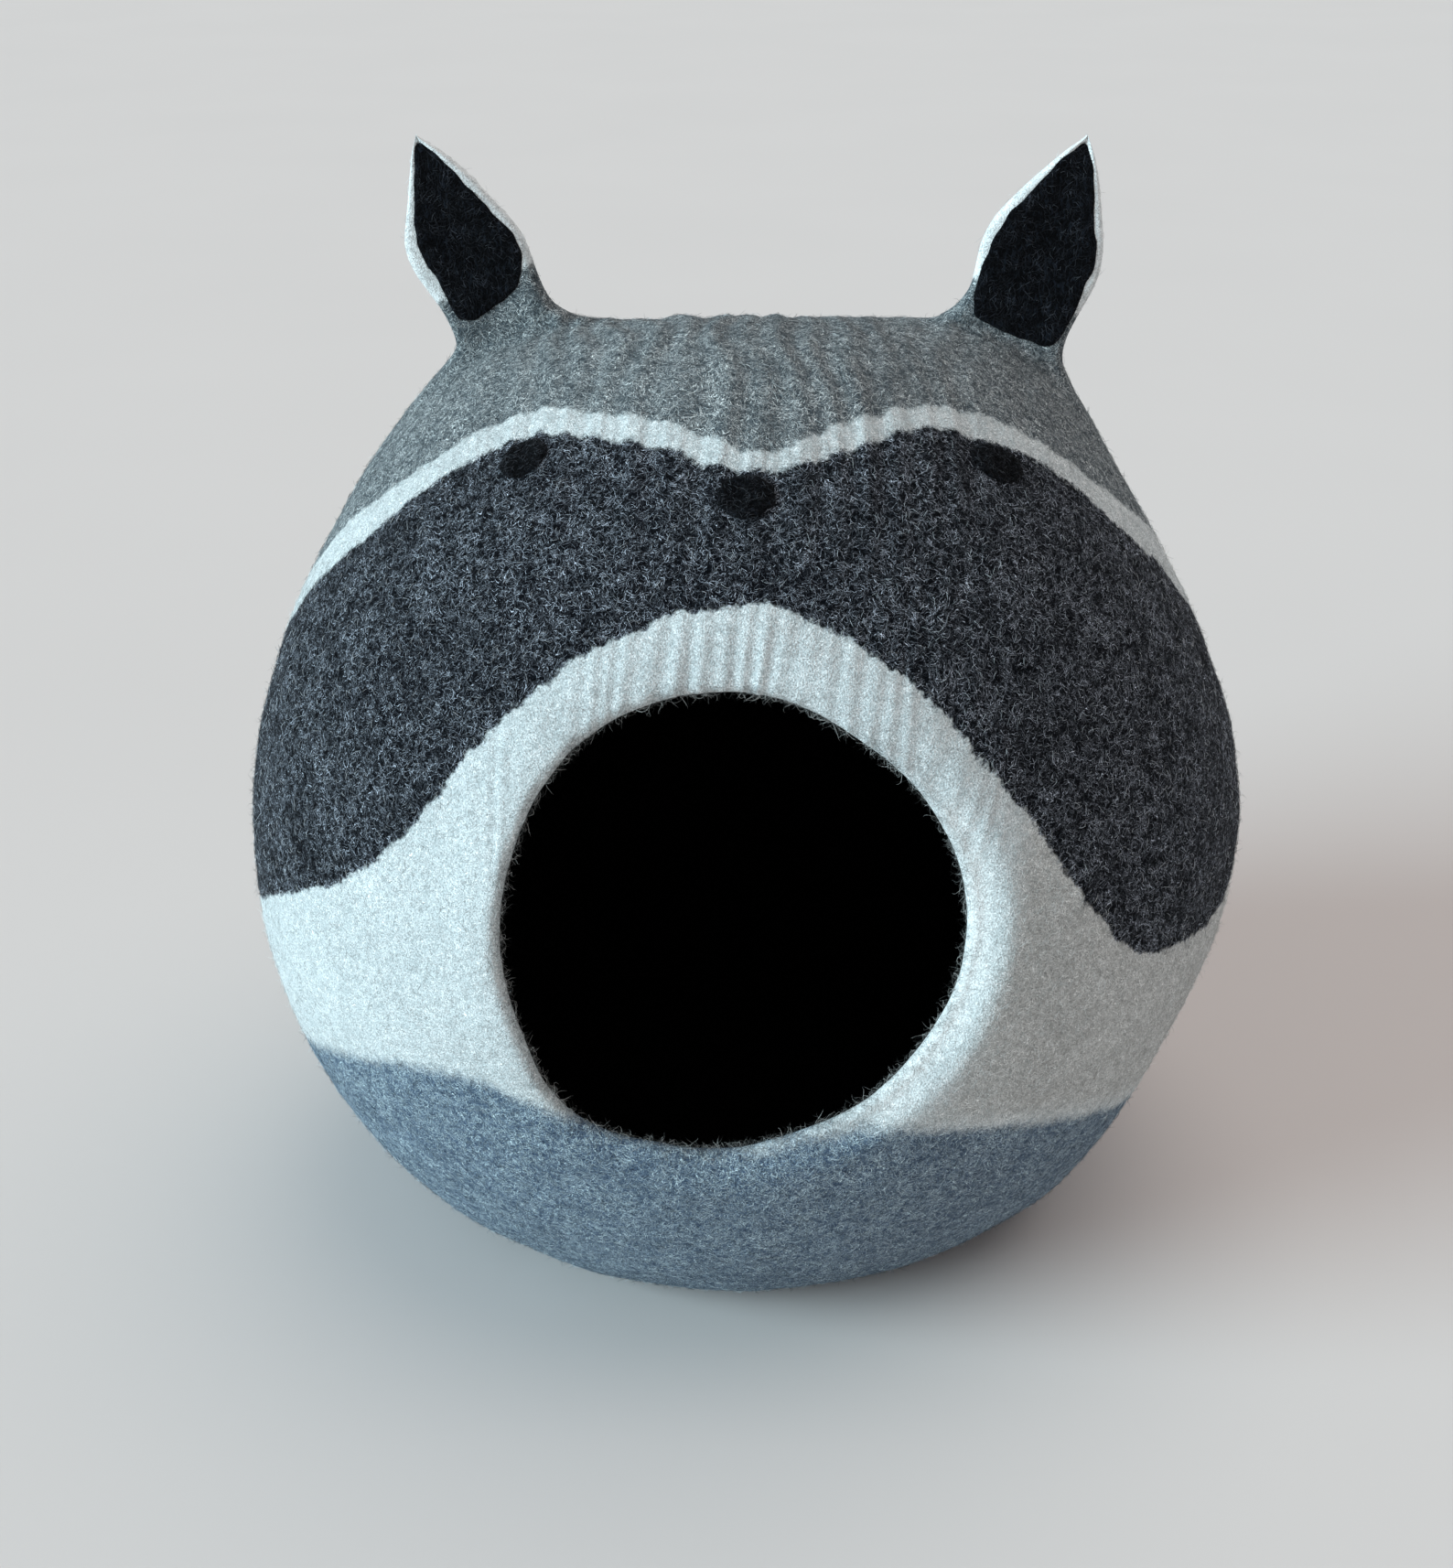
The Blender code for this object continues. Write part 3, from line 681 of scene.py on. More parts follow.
class Finish:
    """A material built up from procedural textures in the object's own metres."""

    def __init__(self, name):
        self.material = bpy.data.materials.new(name)
        self.material.use_nodes = True
        self.tree = self.material.node_tree
        self.shader = self.tree.nodes["Principled BSDF"]
        self.place = self.node("TexCoord", {}, "Object")
        wander = self.cloud(CURL_SIZE, detail=1.0, output="Color")
        wander = self.vector("SUBTRACT", wander, MIDDLE_TONE)
        self.curled = self.vector("ADD", self.place, self.scaled(wander, CURL_REACH))

    def feed(self, socket, value):
        if isinstance(value, bpy.types.NodeSocket):
            self.tree.links.new(value, socket)
        elif socket.type == "RGBA":
            socket.default_value = (*value, 1)
        else:
            socket.default_value = value

    def node(self, kind, inputs, output=0, **settings):
        node = self.tree.nodes.new("ShaderNode" + kind)
        for setting, value in settings.items():
            setattr(node, setting, value)
        for socket, value in inputs.items():
            self.feed(node.inputs[socket], value)
        return node.outputs[output]

    def finished(self, inputs):
        for socket, value in inputs.items():
            self.feed(self.shader.inputs[socket], value)
        return self.material

    def maths(self, operation, *values):
        return self.node("Math", dict(enumerate(values)), operation=operation)

    def joined(self, operation, first, *others):
        for value in others:
            first = self.maths(operation, first, value)
        return first

    def plus(self, *values):
        return self.joined("ADD", *values)

    def less(self, value, taken_off):
        return self.maths("SUBTRACT", value, taken_off)

    def times(self, *values):
        return self.joined("MULTIPLY", *values)

    def vector(self, operation, *values, output=0):
        return self.node("VectorMath", dict(enumerate(values)), output, operation=operation)

    def scaled(self, vector, share):
        return self.node("VectorMath", {0: vector, "Scale": share}, operation="SCALE")

    def cloud(self, size, detail=2.0, shift=None, place=None, output="Fac"):
        """Soft blotches of about this size."""
        place = place or self.place
        if shift:
            place = self.vector("ADD", place, shift)
        return self.node("TexNoise", {"Vector": place, "Scale": 1 / size, "Detail": detail}, output)

    def step(self, value, low, high):
        """0 below low, 1 above high, smooth between."""
        inputs = {"Value": value, "From Min": low, "From Max": high}
        return self.node("MapRange", inputs, "Result", interpolation_type="SMOOTHSTEP")

    def between(self, value, low, high):
        """The value's 0 to 1 stretched to low to high."""
        return self.node("MapRange", {"Value": value, "To Min": low, "To Max": high}, "Result")

    def blend(self, share, first, second, kind="MIX"):
        inputs = {0: share, 6: first, 7: second}
        return self.node("Mix", inputs, 2, data_type="RGBA", blend_type=kind)

    def mark(self, name):
        return self.node("Attribute", {}, "Fac", attribute_name=name)

    def side_by_side(self, away, reach, way, chances, lock, spacing, width, few):
        """Curved strands beside one another across a lock, few of them bright."""
        first, second, third = chances
        along = self.vector("DOT_PRODUCT", away, way, output=1)
        bend = self.times(self.less(third, 0.5), STRAND_BEND / lock)
        bend = self.times(self.times(reach, reach), bend)
        row = self.plus(self.maths("DIVIDE", self.plus(along, bend), spacing), first)
        aside = self.maths("ABSOLUTE", self.less(self.maths("FRACT", row), 0.5))
        line = self.less(1.0, self.step(aside, width * STRAND_CORE, width))
        strand = self.plus(self.maths("FLOOR", row), self.times(second, CHANCE_SPREAD))
        chance = self.node("TexWhiteNoise", {"W": strand}, "Value", noise_dimensions="1D")
        return self.times(line, self.maths("POWER", chance, few))

    def tuft_strands(self, lock, spacing, width, few, seed):
        """Small curved locks of strands, each crossed by another, laid every way round."""
        place = self.vector("ADD", self.curled, tuple(seed * shift for shift in SEED_SHIFT))
        cells = self.node("TexVoronoi", {"Vector": place, "Scale": 1 / lock}).node.outputs
        away = self.vector("SUBTRACT", place, cells["Position"])
        reach = self.vector("LENGTH", away, output=1)
        red, green, blue = self.node("SeparateColor", {0: cells["Color"]}).node.outputs
        outwards = self.node("NewGeometry", {}, "Normal")
        way = self.vector("SUBTRACT", cells["Color"], MIDDLE_TONE)
        way = self.vector("NORMALIZE", self.vector("CROSS_PRODUCT", way, outwards))
        cross_way = self.vector("CROSS_PRODUCT", way, outwards)
        slant = self.scaled(way, self.between(green, -CROSS_SLANT, CROSS_SLANT))
        cross_way = self.vector("NORMALIZE", self.vector("ADD", cross_way, slant))
        under = self.side_by_side(away, reach, way, (red, green, blue), lock, spacing, width, few)
        over = self.side_by_side(away, reach, cross_way, (blue, red, green), lock,
                                 spacing * CROSS_SPACING, width * CROSS_WIDTH, few)
        fade = self.less(1.0, self.step(reach, *(lock * share for share in LOCK_FADE)))
        return self.times(self.maths("MAXIMUM", under, over), fade)

    def strand_mat(self, layers):
        return self.joined("MAXIMUM", *(self.tuft_strands(*layer) for layer in layers))

    def rough_wool(self, colour, roughness, sheen, bump_height, bump_depth):
        bump = {"Strength": 1, "Distance": bump_depth, "Height": bump_height}
        return self.finished({
            "Base Color": colour, "Normal": self.node("Bump", bump, "Normal"),
            "Roughness": roughness, "Sheen Weight": sheen, "Sheen Roughness": SHEEN_ROUGHNESS,
            "Specular IOR Level": WOOL_SHINE,
        })


# The colours of each wool's ground, strands and the painted shade between strands, and how few
# strands are bright.
Wool = namedtuple("Wool", "ground strands gaps few_bright")
TOP_GREY = Wool((0.061, 0.075, 0.086), (0.95, 0.99, 0.99), (0.005, 0.007, 0.009), 1.95)
BASE_GREY = Wool((0.066, 0.100, 0.156), (0.77, 0.93, 0.99), (0.005, 0.008, 0.015), 1.65)
PALE = Wool((0.50, 0.54, 0.55), (0.99, 0.99, 0.99), (0.33, 0.36, 0.37), 1.1)
BROW = Wool((0.43, 0.465, 0.475), (0.99, 0.99, 0.99), (0.12, 0.14, 0.145), 1.0)
# Painted shade, laid on the muzzle's shaded right side.
SHADED_BEIGE = Wool((0.36, 0.36, 0.35), (0.99, 0.99, 0.98), (0.11, 0.11, 0.105), 0.9)
# White wool: the ears' own white rims, and the painted highlight on the lip's right side.
WHITE = Wool((0.76, 0.78, 0.78), (0.98, 0.98, 0.98), (0.50, 0.52, 0.52), 0.9)
CHARCOAL = Wool((0.0024, 0.0032, 0.0050), (0.64, 0.69, 0.80), (0.0006, 0.0006, 0.0010), 3.25)
BLACK = Wool((0.0014, 0.0014, 0.0018), (0.020, 0.020, 0.022), (0.0008, 0.0008, 0.0009), 1.5)

WOOLS = [BASE_GREY, PALE, BROW, SHADED_BEIGE, CHARCOAL, TOP_GREY, WHITE, BLACK]

# Each wool is laid over those before it, from where a mark passes a value.
Marking = namedtuple("Marking", "mark start softness wool")
MARKINGS = [
    Marking("above_base", 0.0, 0.0045, PALE),
    # Painted shade on the muzzle's right side, in beige wool.
    Marking("painted_shade_side", 0.0, 0.0075, SHADED_BEIGE),
    # Painted highlight on the right of the lip, in white wool.
    Marking("painted_lip_highlight", 0.0, 0.0045, WHITE),
    Marking("above_muzzle", 0.0, 0.0010, CHARCOAL),
    Marking("above_mask", 0.0, 0.0015, BROW),
    Marking("above_brow", 0.0, 0.0015, TOP_GREY),
    Marking("ear_height", 0.022, 0.0020, WHITE),
    Marking("into_hole", 0.0040, 0.0012, BLACK),
]

# Size of the locks, the spacing of the strands in them, half a strand's share of that, how few
# of them are bright, and a seed. Long sparse strands lie over short dense ones.
LIGHT_STRANDS = (
    (0.0056, 0.00086, 0.125, 3.2, 1),
    (0.0048, 0.00078, 0.135, 2.8, 2),
    (0.0034, 0.00062, 0.170, 2.0, 3),
    (0.0028, 0.00060, 0.175, 1.8, 4),
)
# Painted shade: dark strand-shaped patches between the light strands, where shade falls among them.
DARK_STRANDS = ((0.0036, 0.0007, 0.20, 1.5, 6),)
DARK_SHARE = 0.55     # how strongly the painted shade between the strands shows
BLOTCH_SIZE = 0.016   # in soft blotches the strands are a little duller
BLOTCH_EDGES = (0.30, 0.62)
BLOTCH_LIGHT = (0.82, 1.0)
GRAIN_SIZE = 0.0007   # the finest hairs, which only change the tone a little
GRAIN_SWING = 1.25
GRAIN_RELIEF = 1.3
# Borders wander slowly and quickly, over this size and this far, and fray along the strands.
BORDER_WANDERS = ((0.014, 0.0036, None), (0.0022, 0.0024, (0.3, 0.1, 0.7)))
FRAY = (-0.0003, 0.0007)
TINT_SIZE = 0.045     # wide patches of lighter and darker wool
TINT_RANGE = (0.86, 1.14)
TINT_SHIFT = (0.5, 0.2, 0.9)
PUCKER_PITCH = 0.0052 # the brow line is drawn up in small puckers
PUCKER_DEPTH = 0.32
PUCKER_DRIFT_SIZE = 0.020
PUCKER_DRIFT = 1.6
PUCKER_EDGE = (-0.004, 0.002)
WOOL_ROUGHNESS = 0.92
WOOL_SHEEN = 0.01
WOOL_RELIEF = 0.00040


def brow_puckers(finish):
    drift = finish.times(finish.cloud(PUCKER_DRIFT_SIZE, detail=1.0), PUCKER_DRIFT)
    along = finish.node("SeparateXYZ", {0: finish.place}, "X")
    across = finish.maths("DIVIDE", along, PUCKER_PITCH / math.tau)
    pucker = finish.maths("SINE", finish.plus(across, finish.times(drift, math.tau)))
    over_mask = finish.step(finish.mark("above_mask"), *PUCKER_EDGE)
    under_top = finish.step(finish.times(finish.mark("above_brow"), -1.0), *PUCKER_EDGE)
    return finish.times(pucker, finish.times(over_mask, under_top), PUCKER_DEPTH)


def felted_wool():
    finish = Finish("felted_wool")
    light = finish.strand_mat(LIGHT_STRANDS)
    dark = finish.strand_mat(DARK_STRANDS)
    blotch = finish.step(finish.cloud(BLOTCH_SIZE, detail=3.0), *BLOTCH_EDGES)
    light = finish.times(light, finish.between(blotch, *BLOTCH_LIGHT))
    grain = finish.cloud(GRAIN_SIZE, detail=1.0)

    wanders = [finish.between(finish.cloud(size, shift=shift), -reach, reach)
               for size, reach, shift in BORDER_WANDERS]
    wobble = finish.plus(*wanders, finish.between(light, *FRAY))
    steps = []
    for marking in MARKINGS:
        past = finish.plus(finish.less(finish.mark(marking.mark), marking.start), wobble)
        steps.append((finish.step(past, -marking.softness, marking.softness), marking.wool))
    tones = []
    for part in ("ground", "strands", "gaps"):
        colour = getattr(BASE_GREY, part)
        for share, wool in steps:
            colour = finish.blend(share, colour, getattr(wool, part))
        tones.append(colour)
    ground, strands, gaps = tones
    few_bright = BASE_GREY.few_bright
    for share, wool in steps:
        change = finish.less(wool.few_bright, few_bright)
        few_bright = finish.plus(few_bright, finish.times(share, change))

    light = finish.maths("POWER", light, few_bright)
    # Painted shade between the strands, in each wool's darker gap colour.
    colour = finish.blend(finish.times(dark, DARK_SHARE), ground, gaps)
    colour = finish.blend(light, colour, strands)
    tint = finish.between(finish.cloud(TINT_SIZE, detail=3.0, shift=TINT_SHIFT), *TINT_RANGE)
    swing = finish.times(finish.less(grain, 0.5), finish.times(few_bright, GRAIN_SWING))
    tint = finish.times(tint, finish.plus(swing, 1.0))
    tint = finish.node("CombineColor", dict.fromkeys(range(3), tint))
    colour = finish.blend(1.0, colour, tint, kind="MULTIPLY")
    relief = finish.plus(finish.tuft_strands(*LIGHT_STRANDS[0]), finish.times(grain, GRAIN_RELIEF))
    relief = finish.plus(relief, brow_puckers(finish))
    return finish.rough_wool(colour, WOOL_ROUGHNESS, WOOL_SHEEN, relief, WOOL_RELIEF)


shell = add_piece("cave_shell", shell_mesh, felted_wool())
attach(shell, "root")
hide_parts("shell")


# ------------------------------------------------------------------------------------------
# The black felt pieces: a leaf on the front of each ear, two oval eyes over the mask's upper
# edge and a rounder nose. Each is cut from thin felt and needled down, so its edge sinks in.
# ------------------------------------------------------------------------------------------
PIECE_THICKNESS = 0.0013
# Up the ear: the height, the share of its half width that the panel's outer edge keeps, and
# the width of the white rim left showing along its inner edge.
PANEL_EDGES = {
    "left": (
        (0.00, 0.84, 0.0046), (0.24, 0.78, 0.0044), (0.38, 0.68, 0.0026), (0.52, 0.73, 0.0042),
        (0.78, 0.74, 0.0038), (0.93, 0.72, 0.0020), (1.00, 0.60, 0.0004),
    ),
    "right": (
        (0.00, 0.90, 0.0020), (0.24, 0.88, 0.0022), (0.38, 0.85, 0.0032), (0.52, 0.86, 0.0044),
        (0.78, 0.76, 0.0026), (0.93, 0.70, 0.0012), (1.00, 0.55, 0.0004),
    ),
}
PANEL_FEET = {"left": (0.008, 0.016), "right": (0.003, 0.007)}    # outer, inner
PANEL_TOP = 0.985
PANEL_SIDE_POINTS = 22
PANEL_FOOT_POINTS = 12
PANEL_MIDDLE = 0.45
PANEL_ROUNDING = 3    # points either side over which the foot's corners are rounded
PANEL_ROUNDED_TO = 0.4
PANEL_RAGGED = 0.0016
SPOT_COLUMNS = 40
SPOT_RAGGED = 0.0011
RAGGED_PER_METRE = 260
RAGGED_SEED_STEP = 7.3
RAGGED_SEEDS = 30     # tells the pieces' ragged edges apart by where they lie
# From the middle of a piece over its edge and under it: the share of its outline, and how far
# the felt's face lies over the wool, in thicknesses.
PIECE_SECTIONS = (
    (0.25, 1.0), (0.50, 1.0), (0.74, 0.95), (0.90, 0.80), (0.98, 0.45), (1.00, 0.0), (0.97, -0.5),
    (0.60, -0.5),
)

Spot = namedtuple("Spot", "name toward half_width half_height turn_deg")
SPOTS = [
    Spot("eye_left", (-0.354, -0.331, 0.874), 0.0106, 0.0091, -45),
    Spot("eye_right", (0.426, -0.295, 0.855), 0.0122, 0.0095, 40),
    Spot("nose", (0.009, -0.485, 0.874), 0.0111, 0.0092, 0),
]


class FeltFace:
    """A mesh's triangles with their marks, for laying pieces and loose wool on them."""

    def __init__(self, mesh):
        mesh.calc_loop_triangles()
        self.corners = read_all(mesh.loop_triangles, "vertices", 3, np.int32)
        self.places = vertex_places(mesh)
        self.outwards = vertex_outwards(mesh)
        a, b, c = (self.places[self.corners[:, k]] for k in range(3))
        self.areas = np.linalg.norm(np.cross(b - a, c - a), axis=1) / 2
        self.tree = BVHTree.FromPolygons(self.places.tolist(), self.corners.tolist())
        self.marks = {mark.name: get_mark(mesh, mark.name) for mark in mesh.attributes
                      if mark.domain == "POINT" and mark.data_type == "FLOAT"}

    def middle_mark(self, name):
        return self.marks[name][self.corners].mean(axis=1)

    def scatter(self, rng, wanted, count):
        """Random places over the wanted triangles, in proportion to their area."""
        weights = self.areas * wanted
        chosen = rng.choice(len(weights), size=count, p=weights / weights.sum())
        first, second = np.sqrt(rng.random(count)), rng.random(count)
        parts = np.stack([1 - first, first * (1 - second), first * second], axis=1)
        corners = self.corners[chosen]
        places = (self.places[corners] * parts[:, :, None]).sum(axis=1)
        outwards = (self.outwards[corners] * parts[:, :, None]).sum(axis=1)
        return places, outwards / np.linalg.norm(outwards, axis=1)[:, None]


shell_face = FeltFace(shell_mesh)


def on_felt(point, lift):
    """The nearest place on the felt, lifted off it."""
    place, outwards, _, _ = shell_face.tree.find_nearest(point)
    return place + outwards * lift


BLACK_STRANDS = ((0.0060, 0.0011, 0.16, 2.2, 6), (0.0090, 0.0014, 0.12, 4.0, 7))
BLACK_STRAND_TONE = (0.066, 0.072, 0.090)
BLACK_GROUND_TONES = ((0.0010, 0.0010, 0.0014), (0.0028, 0.0028, 0.0036))
BLACK_GRAIN_SIZE = 0.0009
PATCH_SIZE = 0.007
PATCH_EDGES = (0.45, 0.70)
PATCH_LIGHT = (0.3, 1.0)
NAP_SIZE = 0.0011     # hairs brushed up the piece, drawn out along its height; their sheen is painted along them in lighter blue-grey
NAP_SQUEEZE = (1.0, 1.0, 0.22)
NAP_EDGES = (0.48, 0.74)
NAP_SHEEN_SHARE = 0.55
NAP_SHEEN_TONE = (0.018, 0.023, 0.033)
BLACK_ROUGHNESS = 0.95
BLACK_SHEEN = 0.04
BLACK_RELIEF = 0.0003


def black_felt():
    finish = Finish("black_felt")
    light = finish.strand_mat(BLACK_STRANDS)
    grain = finish.cloud(BLACK_GRAIN_SIZE)
    patchy = finish.between(finish.step(finish.cloud(PATCH_SIZE), *PATCH_EDGES), *PATCH_LIGHT)
    squeezed = finish.vector("MULTIPLY", finish.curled, NAP_SQUEEZE)
    nap = finish.step(finish.cloud(NAP_SIZE, place=squeezed), *NAP_EDGES)
    colour = finish.blend(grain, *BLACK_GROUND_TONES)
    colour = finish.blend(finish.times(light, patchy), colour, BLACK_STRAND_TONE)
    # Painted sheen: lighter blue-grey streaks along the brushed hairs, which also give real relief.
    colour = finish.blend(finish.times(nap, NAP_SHEEN_SHARE), colour, NAP_SHEEN_TONE)
    relief = finish.plus(nap, finish.plus(light, grain))
    return finish.rough_wool(colour, BLACK_ROUGHNESS, BLACK_SHEEN, relief, BLACK_RELIEF)


def felt_cutting(name, outline, place, material):
    """A thin piece cut to an outline about its middle, and laid where place() says."""
    rings = FeltRings()
    for share, lift in PIECE_SECTIONS:
        lift *= PIECE_THICKNESS
        rings.rows.append([rings.add_point(place(share * x, share * y, lift)) for x, y in outline])
    for inner, outer in zip(rings.rows, rings.rows[1:]):
        rings.band(inner, outer)
    for end, outwards in ((0, False), (-1, True)):
        hub = rings.add_point(place(0, 0, PIECE_SECTIONS[end][1] * PIECE_THICKNESS))
        rings.fan(rings.rows[end], hub, outwards)
    piece = add_piece(name, smoothed_mesh(name, rings.points, rings.faces, {}, 1), material)
    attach(piece, "root")
    return piece


def ragged(outline, amount, lies_at):
    """The outline as scissors and the felting needle leave it."""

    def strays(x, y, seed):
        return amount * noise.noise(Vector((x * RAGGED_PER_METRE, y * RAGGED_PER_METRE, seed)))

    seed = lies_at * RAGGED_SEEDS
    return [(x + strays(x, y, seed), y + strays(x, y, seed + RAGGED_SEED_STEP)) for x, y in outline]


def spot_outline(spot):
    across, up = math.cos(math.radians(spot.turn_deg)), math.sin(math.radians(spot.turn_deg))
    outline = []
    for step in range(SPOT_COLUMNS):
        turn = 2 * math.pi * step / SPOT_COLUMNS
        x = spot.half_width * math.sin(turn)
        y = spot.half_height * math.cos(turn)
        outline.append((x * across + y * up, y * across - x * up))
    return ragged(outline, SPOT_RAGGED, spot.toward[0])


def lay_spot(spot, material):
    toward = Vector(spot.toward).normalized()
    right = toward.cross(Vector((0, 0, 1))).normalized() * -1
    up = toward.cross(right).normalized()
    distance = pod_radius(toward)

    def place(x, y, lift):
        return on_felt(pod_point((toward * distance + right * x + up * y).normalized(), 0), lift)

    piece = felt_cutting(spot.name + "_felt", spot_outline(spot), place, material)
    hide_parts(spot.name)
    return piece


def panel_outline(ear):
    outer_side = -1 if ear.side == "left" else 1
    middle = ear.length * PANEL_MIDDLE
    heights, outer_shares, inner_rims = zip(*PANEL_EDGES[ear.side])

    def side_points(side, foot_height):
        points = []
        for height in spaced(foot_height, ear.length * PANEL_TOP, PANEL_SIDE_POINTS):
            half_width, _ = ear_size(ear, height)
            share = height / ear.length
            if side == outer_side:
                edge = half_width * read_off(share, heights, outer_shares)
            else:
                edge = half_width - read_off(share, heights, inner_rims)
            points.append((side * edge, height - middle))
        return points

    feet = dict(zip((outer_side, -outer_side), PANEL_FEET[ear.side]))
    right = side_points(1, feet[1])
    left = side_points(-1, feet[-1])
    foot_x = spaced(right[0][0], left[0][0], PANEL_FOOT_POINTS)
    foot_y = spaced(right[0][1], left[0][1], PANEL_FOOT_POINTS)
    outline = [*reversed(right), *list(zip(foot_x, foot_y))[1:-1], *left]
    reach = range(-PANEL_ROUNDING, PANEL_ROUNDING + 1)
    rounded = []
    for i, point in enumerate(outline):
        if point[1] < ear.length * PANEL_ROUNDED_TO - middle:
            beside = [outline[(i + k) % len(outline)] for k in reach]
            point = tuple(sum(values) / len(reach) for values in zip(*beside))
        rounded.append(point)
    return rounded


def lay_ear_panel(ear, material):
    middle = ear.length * PANEL_MIDDLE
    outline = ragged(panel_outline(ear), PANEL_RAGGED, ear.foot[0])

    def place(x, y, lift):
        return on_felt(ear_point(ear, y + middle, x, 1), lift)

    piece = felt_cutting("ear_panel_" + ear.side + "_felt", outline, place, material)
    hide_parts("ear_panel_" + ear.side)
    return piece


black = black_felt()
black_pieces = [lay_ear_panel(ear, black) for ear in EARS]
black_pieces += [lay_spot(spot, black) for spot in SPOTS]


# ------------------------------------------------------------------------------------------
# Loose wool. Felting never binds every strand: all over the cave fine curled ends of each wool
# lie on the face or stand a little off it, and longer ones curl out round the lip.
# ------------------------------------------------------------------------------------------
# Most strands of a lot lie within a rise of the felt, and a share of them stand free of it.
StrandLot = namedtuple(
    "StrandLot", "name wools count joints length width rise free_share free_rise curl seed tones")
LYING = (0.0002, 0.0009)
STANDING = (0.0012, 0.0034)
SHORT = (0.003, 0.008)
FINE = 0.00012
STRAND_LOTS = (
    StrandLot("pale", (PALE, BROW, SHADED_BEIGE, WHITE), 13000, 4, SHORT, FINE, LYING, 0.14, STANDING, 1.5,
              11, ((0.40, 0.40, 0.39), (0.86, 0.89, 0.89), (0.98, 0.99, 0.99))),
    StrandLot("mask", (CHARCOAL,), 15500, 4, (0.003, 0.007), FINE, LYING, 0.12, STANDING, 1.5, 12,
              ((0.004, 0.004, 0.006), (0.078, 0.084, 0.100), (0.84, 0.88, 0.93))),
    StrandLot("top", (TOP_GREY,), 16000, 4, SHORT, FINE, LYING, 0.10, STANDING, 1.5, 13,
              ((0.012, 0.015, 0.018), (0.30, 0.33, 0.35), (0.88, 0.92, 0.94))),
    StrandLot("base", (BASE_GREY,), 10000, 4, SHORT, FINE, LYING, 0.12, STANDING, 1.5, 14,
              ((0.015, 0.02, 0.03), (0.28, 0.36, 0.44), (0.82, 0.92, 0.98))),
)
LIP_LOT = StrandLot(
    "lip", (), 2600, 7, (0.003, 0.010), 0.00010, (0.0006, 0.0026), 0.50, (0.0012, 0.0056), 3.2, 15,
    ((0.030, 0.029, 0.028), (0.26, 0.26, 0.255), (0.80, 0.80, 0.78)))
BLACK_LOT = StrandLot(
    "black", (), 600, 4, (0.003, 0.006), 0.00016, LYING, 0.15, (0.001, 0.0022), 1.5, 16,
    ((0.002, 0.002, 0.003), (0.006, 0.007, 0.009), (0.10, 0.105, 0.12)))
LIP_BAND = (-0.0030, 0.0060)      # the lip's strands grow this far round its edge
SHOWN_INTO_HOLE = 0.005           # the others reach this far into the hole
SHOWN_OFF_FLOOR = 0.0008
FACING_BACK = 0.2                 # the black pieces' strands grow on faces that don't face back
BORDER_ROUGHNESS = 0.0013
BORDER_SEED = 5
TWIST_SHARE = 0.7                 # of a strand's curl, for its bend half way along
STAND_CURVE = 1.4
STRAND_SINK = 0.0004              # how deep a strand's rooted ends lie
STRAND_TAPER = 0.5
CLEAR_OF_BLACK = 0.0012           # the wool's strands keep this far from the black pieces
NO_LENGTH = 1e-9
CHART_MARGIN = 0.01               # of the map that holds each strand's tone
CHART_SPAN = 0.96
CHART_STRAND = 0.02
CHART_CORNERS = (0.2, 0.5, 0.8)
TONE_STEPS = ((0.15, 0.85), (0.70, 1.0))      # from the darkest to the middle and lightest tone
STRAND_ROUGHNESS = 0.75
STRAND_SHINE = 0.10


def wool_of_faces(face, rng):
    """Which wool each triangle shows, with the borders roughened by a millimetre or two."""
    wool = np.full(len(face.areas), WOOLS.index(BASE_GREY))
    rough = rng.normal(0, BORDER_ROUGHNESS, len(wool))
    for mark, start, _, laid in MARKINGS:
        wool[face.middle_mark(mark) + rough > start] = WOOLS.index(laid)
    return wool


def grow_strands(face, lot, wanted, clear_of=None):
    """Paths of curled strands over the wanted triangles, and the way outwards along them."""
    rng = np.random.default_rng(lot.seed)
    roots, outwards = face.scatter(rng, wanted, lot.count)
    aside = np.cross(outwards, rng.normal(size=outwards.shape))
    aside /= np.linalg.norm(aside, axis=1)[:, None]
    ahead = np.cross(aside, outwards)
    length = rng.uniform(*lot.length, lot.count)
    turning = rng.normal(0, 1, lot.count) * lot.curl
    twist = rng.normal(0, 1, lot.count) * lot.curl * TWIST_SHARE
    free = rng.random(lot.count) < lot.free_share
    rise = np.where(free, rng.uniform(*lot.free_rise, lot.count), rng.uniform(*lot.rise, lot.count))
    paths = [roots]
    for joint in range(1, lot.joints):
        share = joint / (lot.joints - 1)
        heading = turning * share + twist * math.sin(math.pi * share)
        step = (length / (lot.joints - 1))[:, None]
        way = np.cos(heading)[:, None] * ahead + np.sin(heading)[:, None] * aside
        paths.append(paths[-1] + way * step)
    paths = np.stack(paths, axis=1)
    outs = np.empty_like(paths)
    for at in np.ndindex(lot.count, lot.joints):
        paths[at], outs[at], _, _ = face.tree.find_nearest(paths[at])
    share = np.linspace(0, 1, lot.joints)[None, :]
    arch = np.sin(math.pi * share)
    lying = arch * rise[:, None] - STRAND_SINK * (1 - arch)
    standing = share ** STAND_CURVE * rise[:, None] - STRAND_SINK * (1 - share)
    paths += outs * np.where(free[:, None], standing, lying)[:, :, None]
    paths[:, :, 2] = np.maximum(paths[:, :, 2], lot.width)
    tones = rng.random(lot.count)
    if clear_of:
        kept = [n for n, path in enumerate(paths)
                if not any(clear_of.find_nearest(place, CLEAR_OF_BLACK)[0] for place in path)]
        paths, outs, tones = paths[kept], outs[kept], tones[kept]
    return paths, outs, tones


def of_length_one(ways):
    return ways / np.maximum(np.linalg.norm(ways, axis=2), NO_LENGTH)[:, :, None]


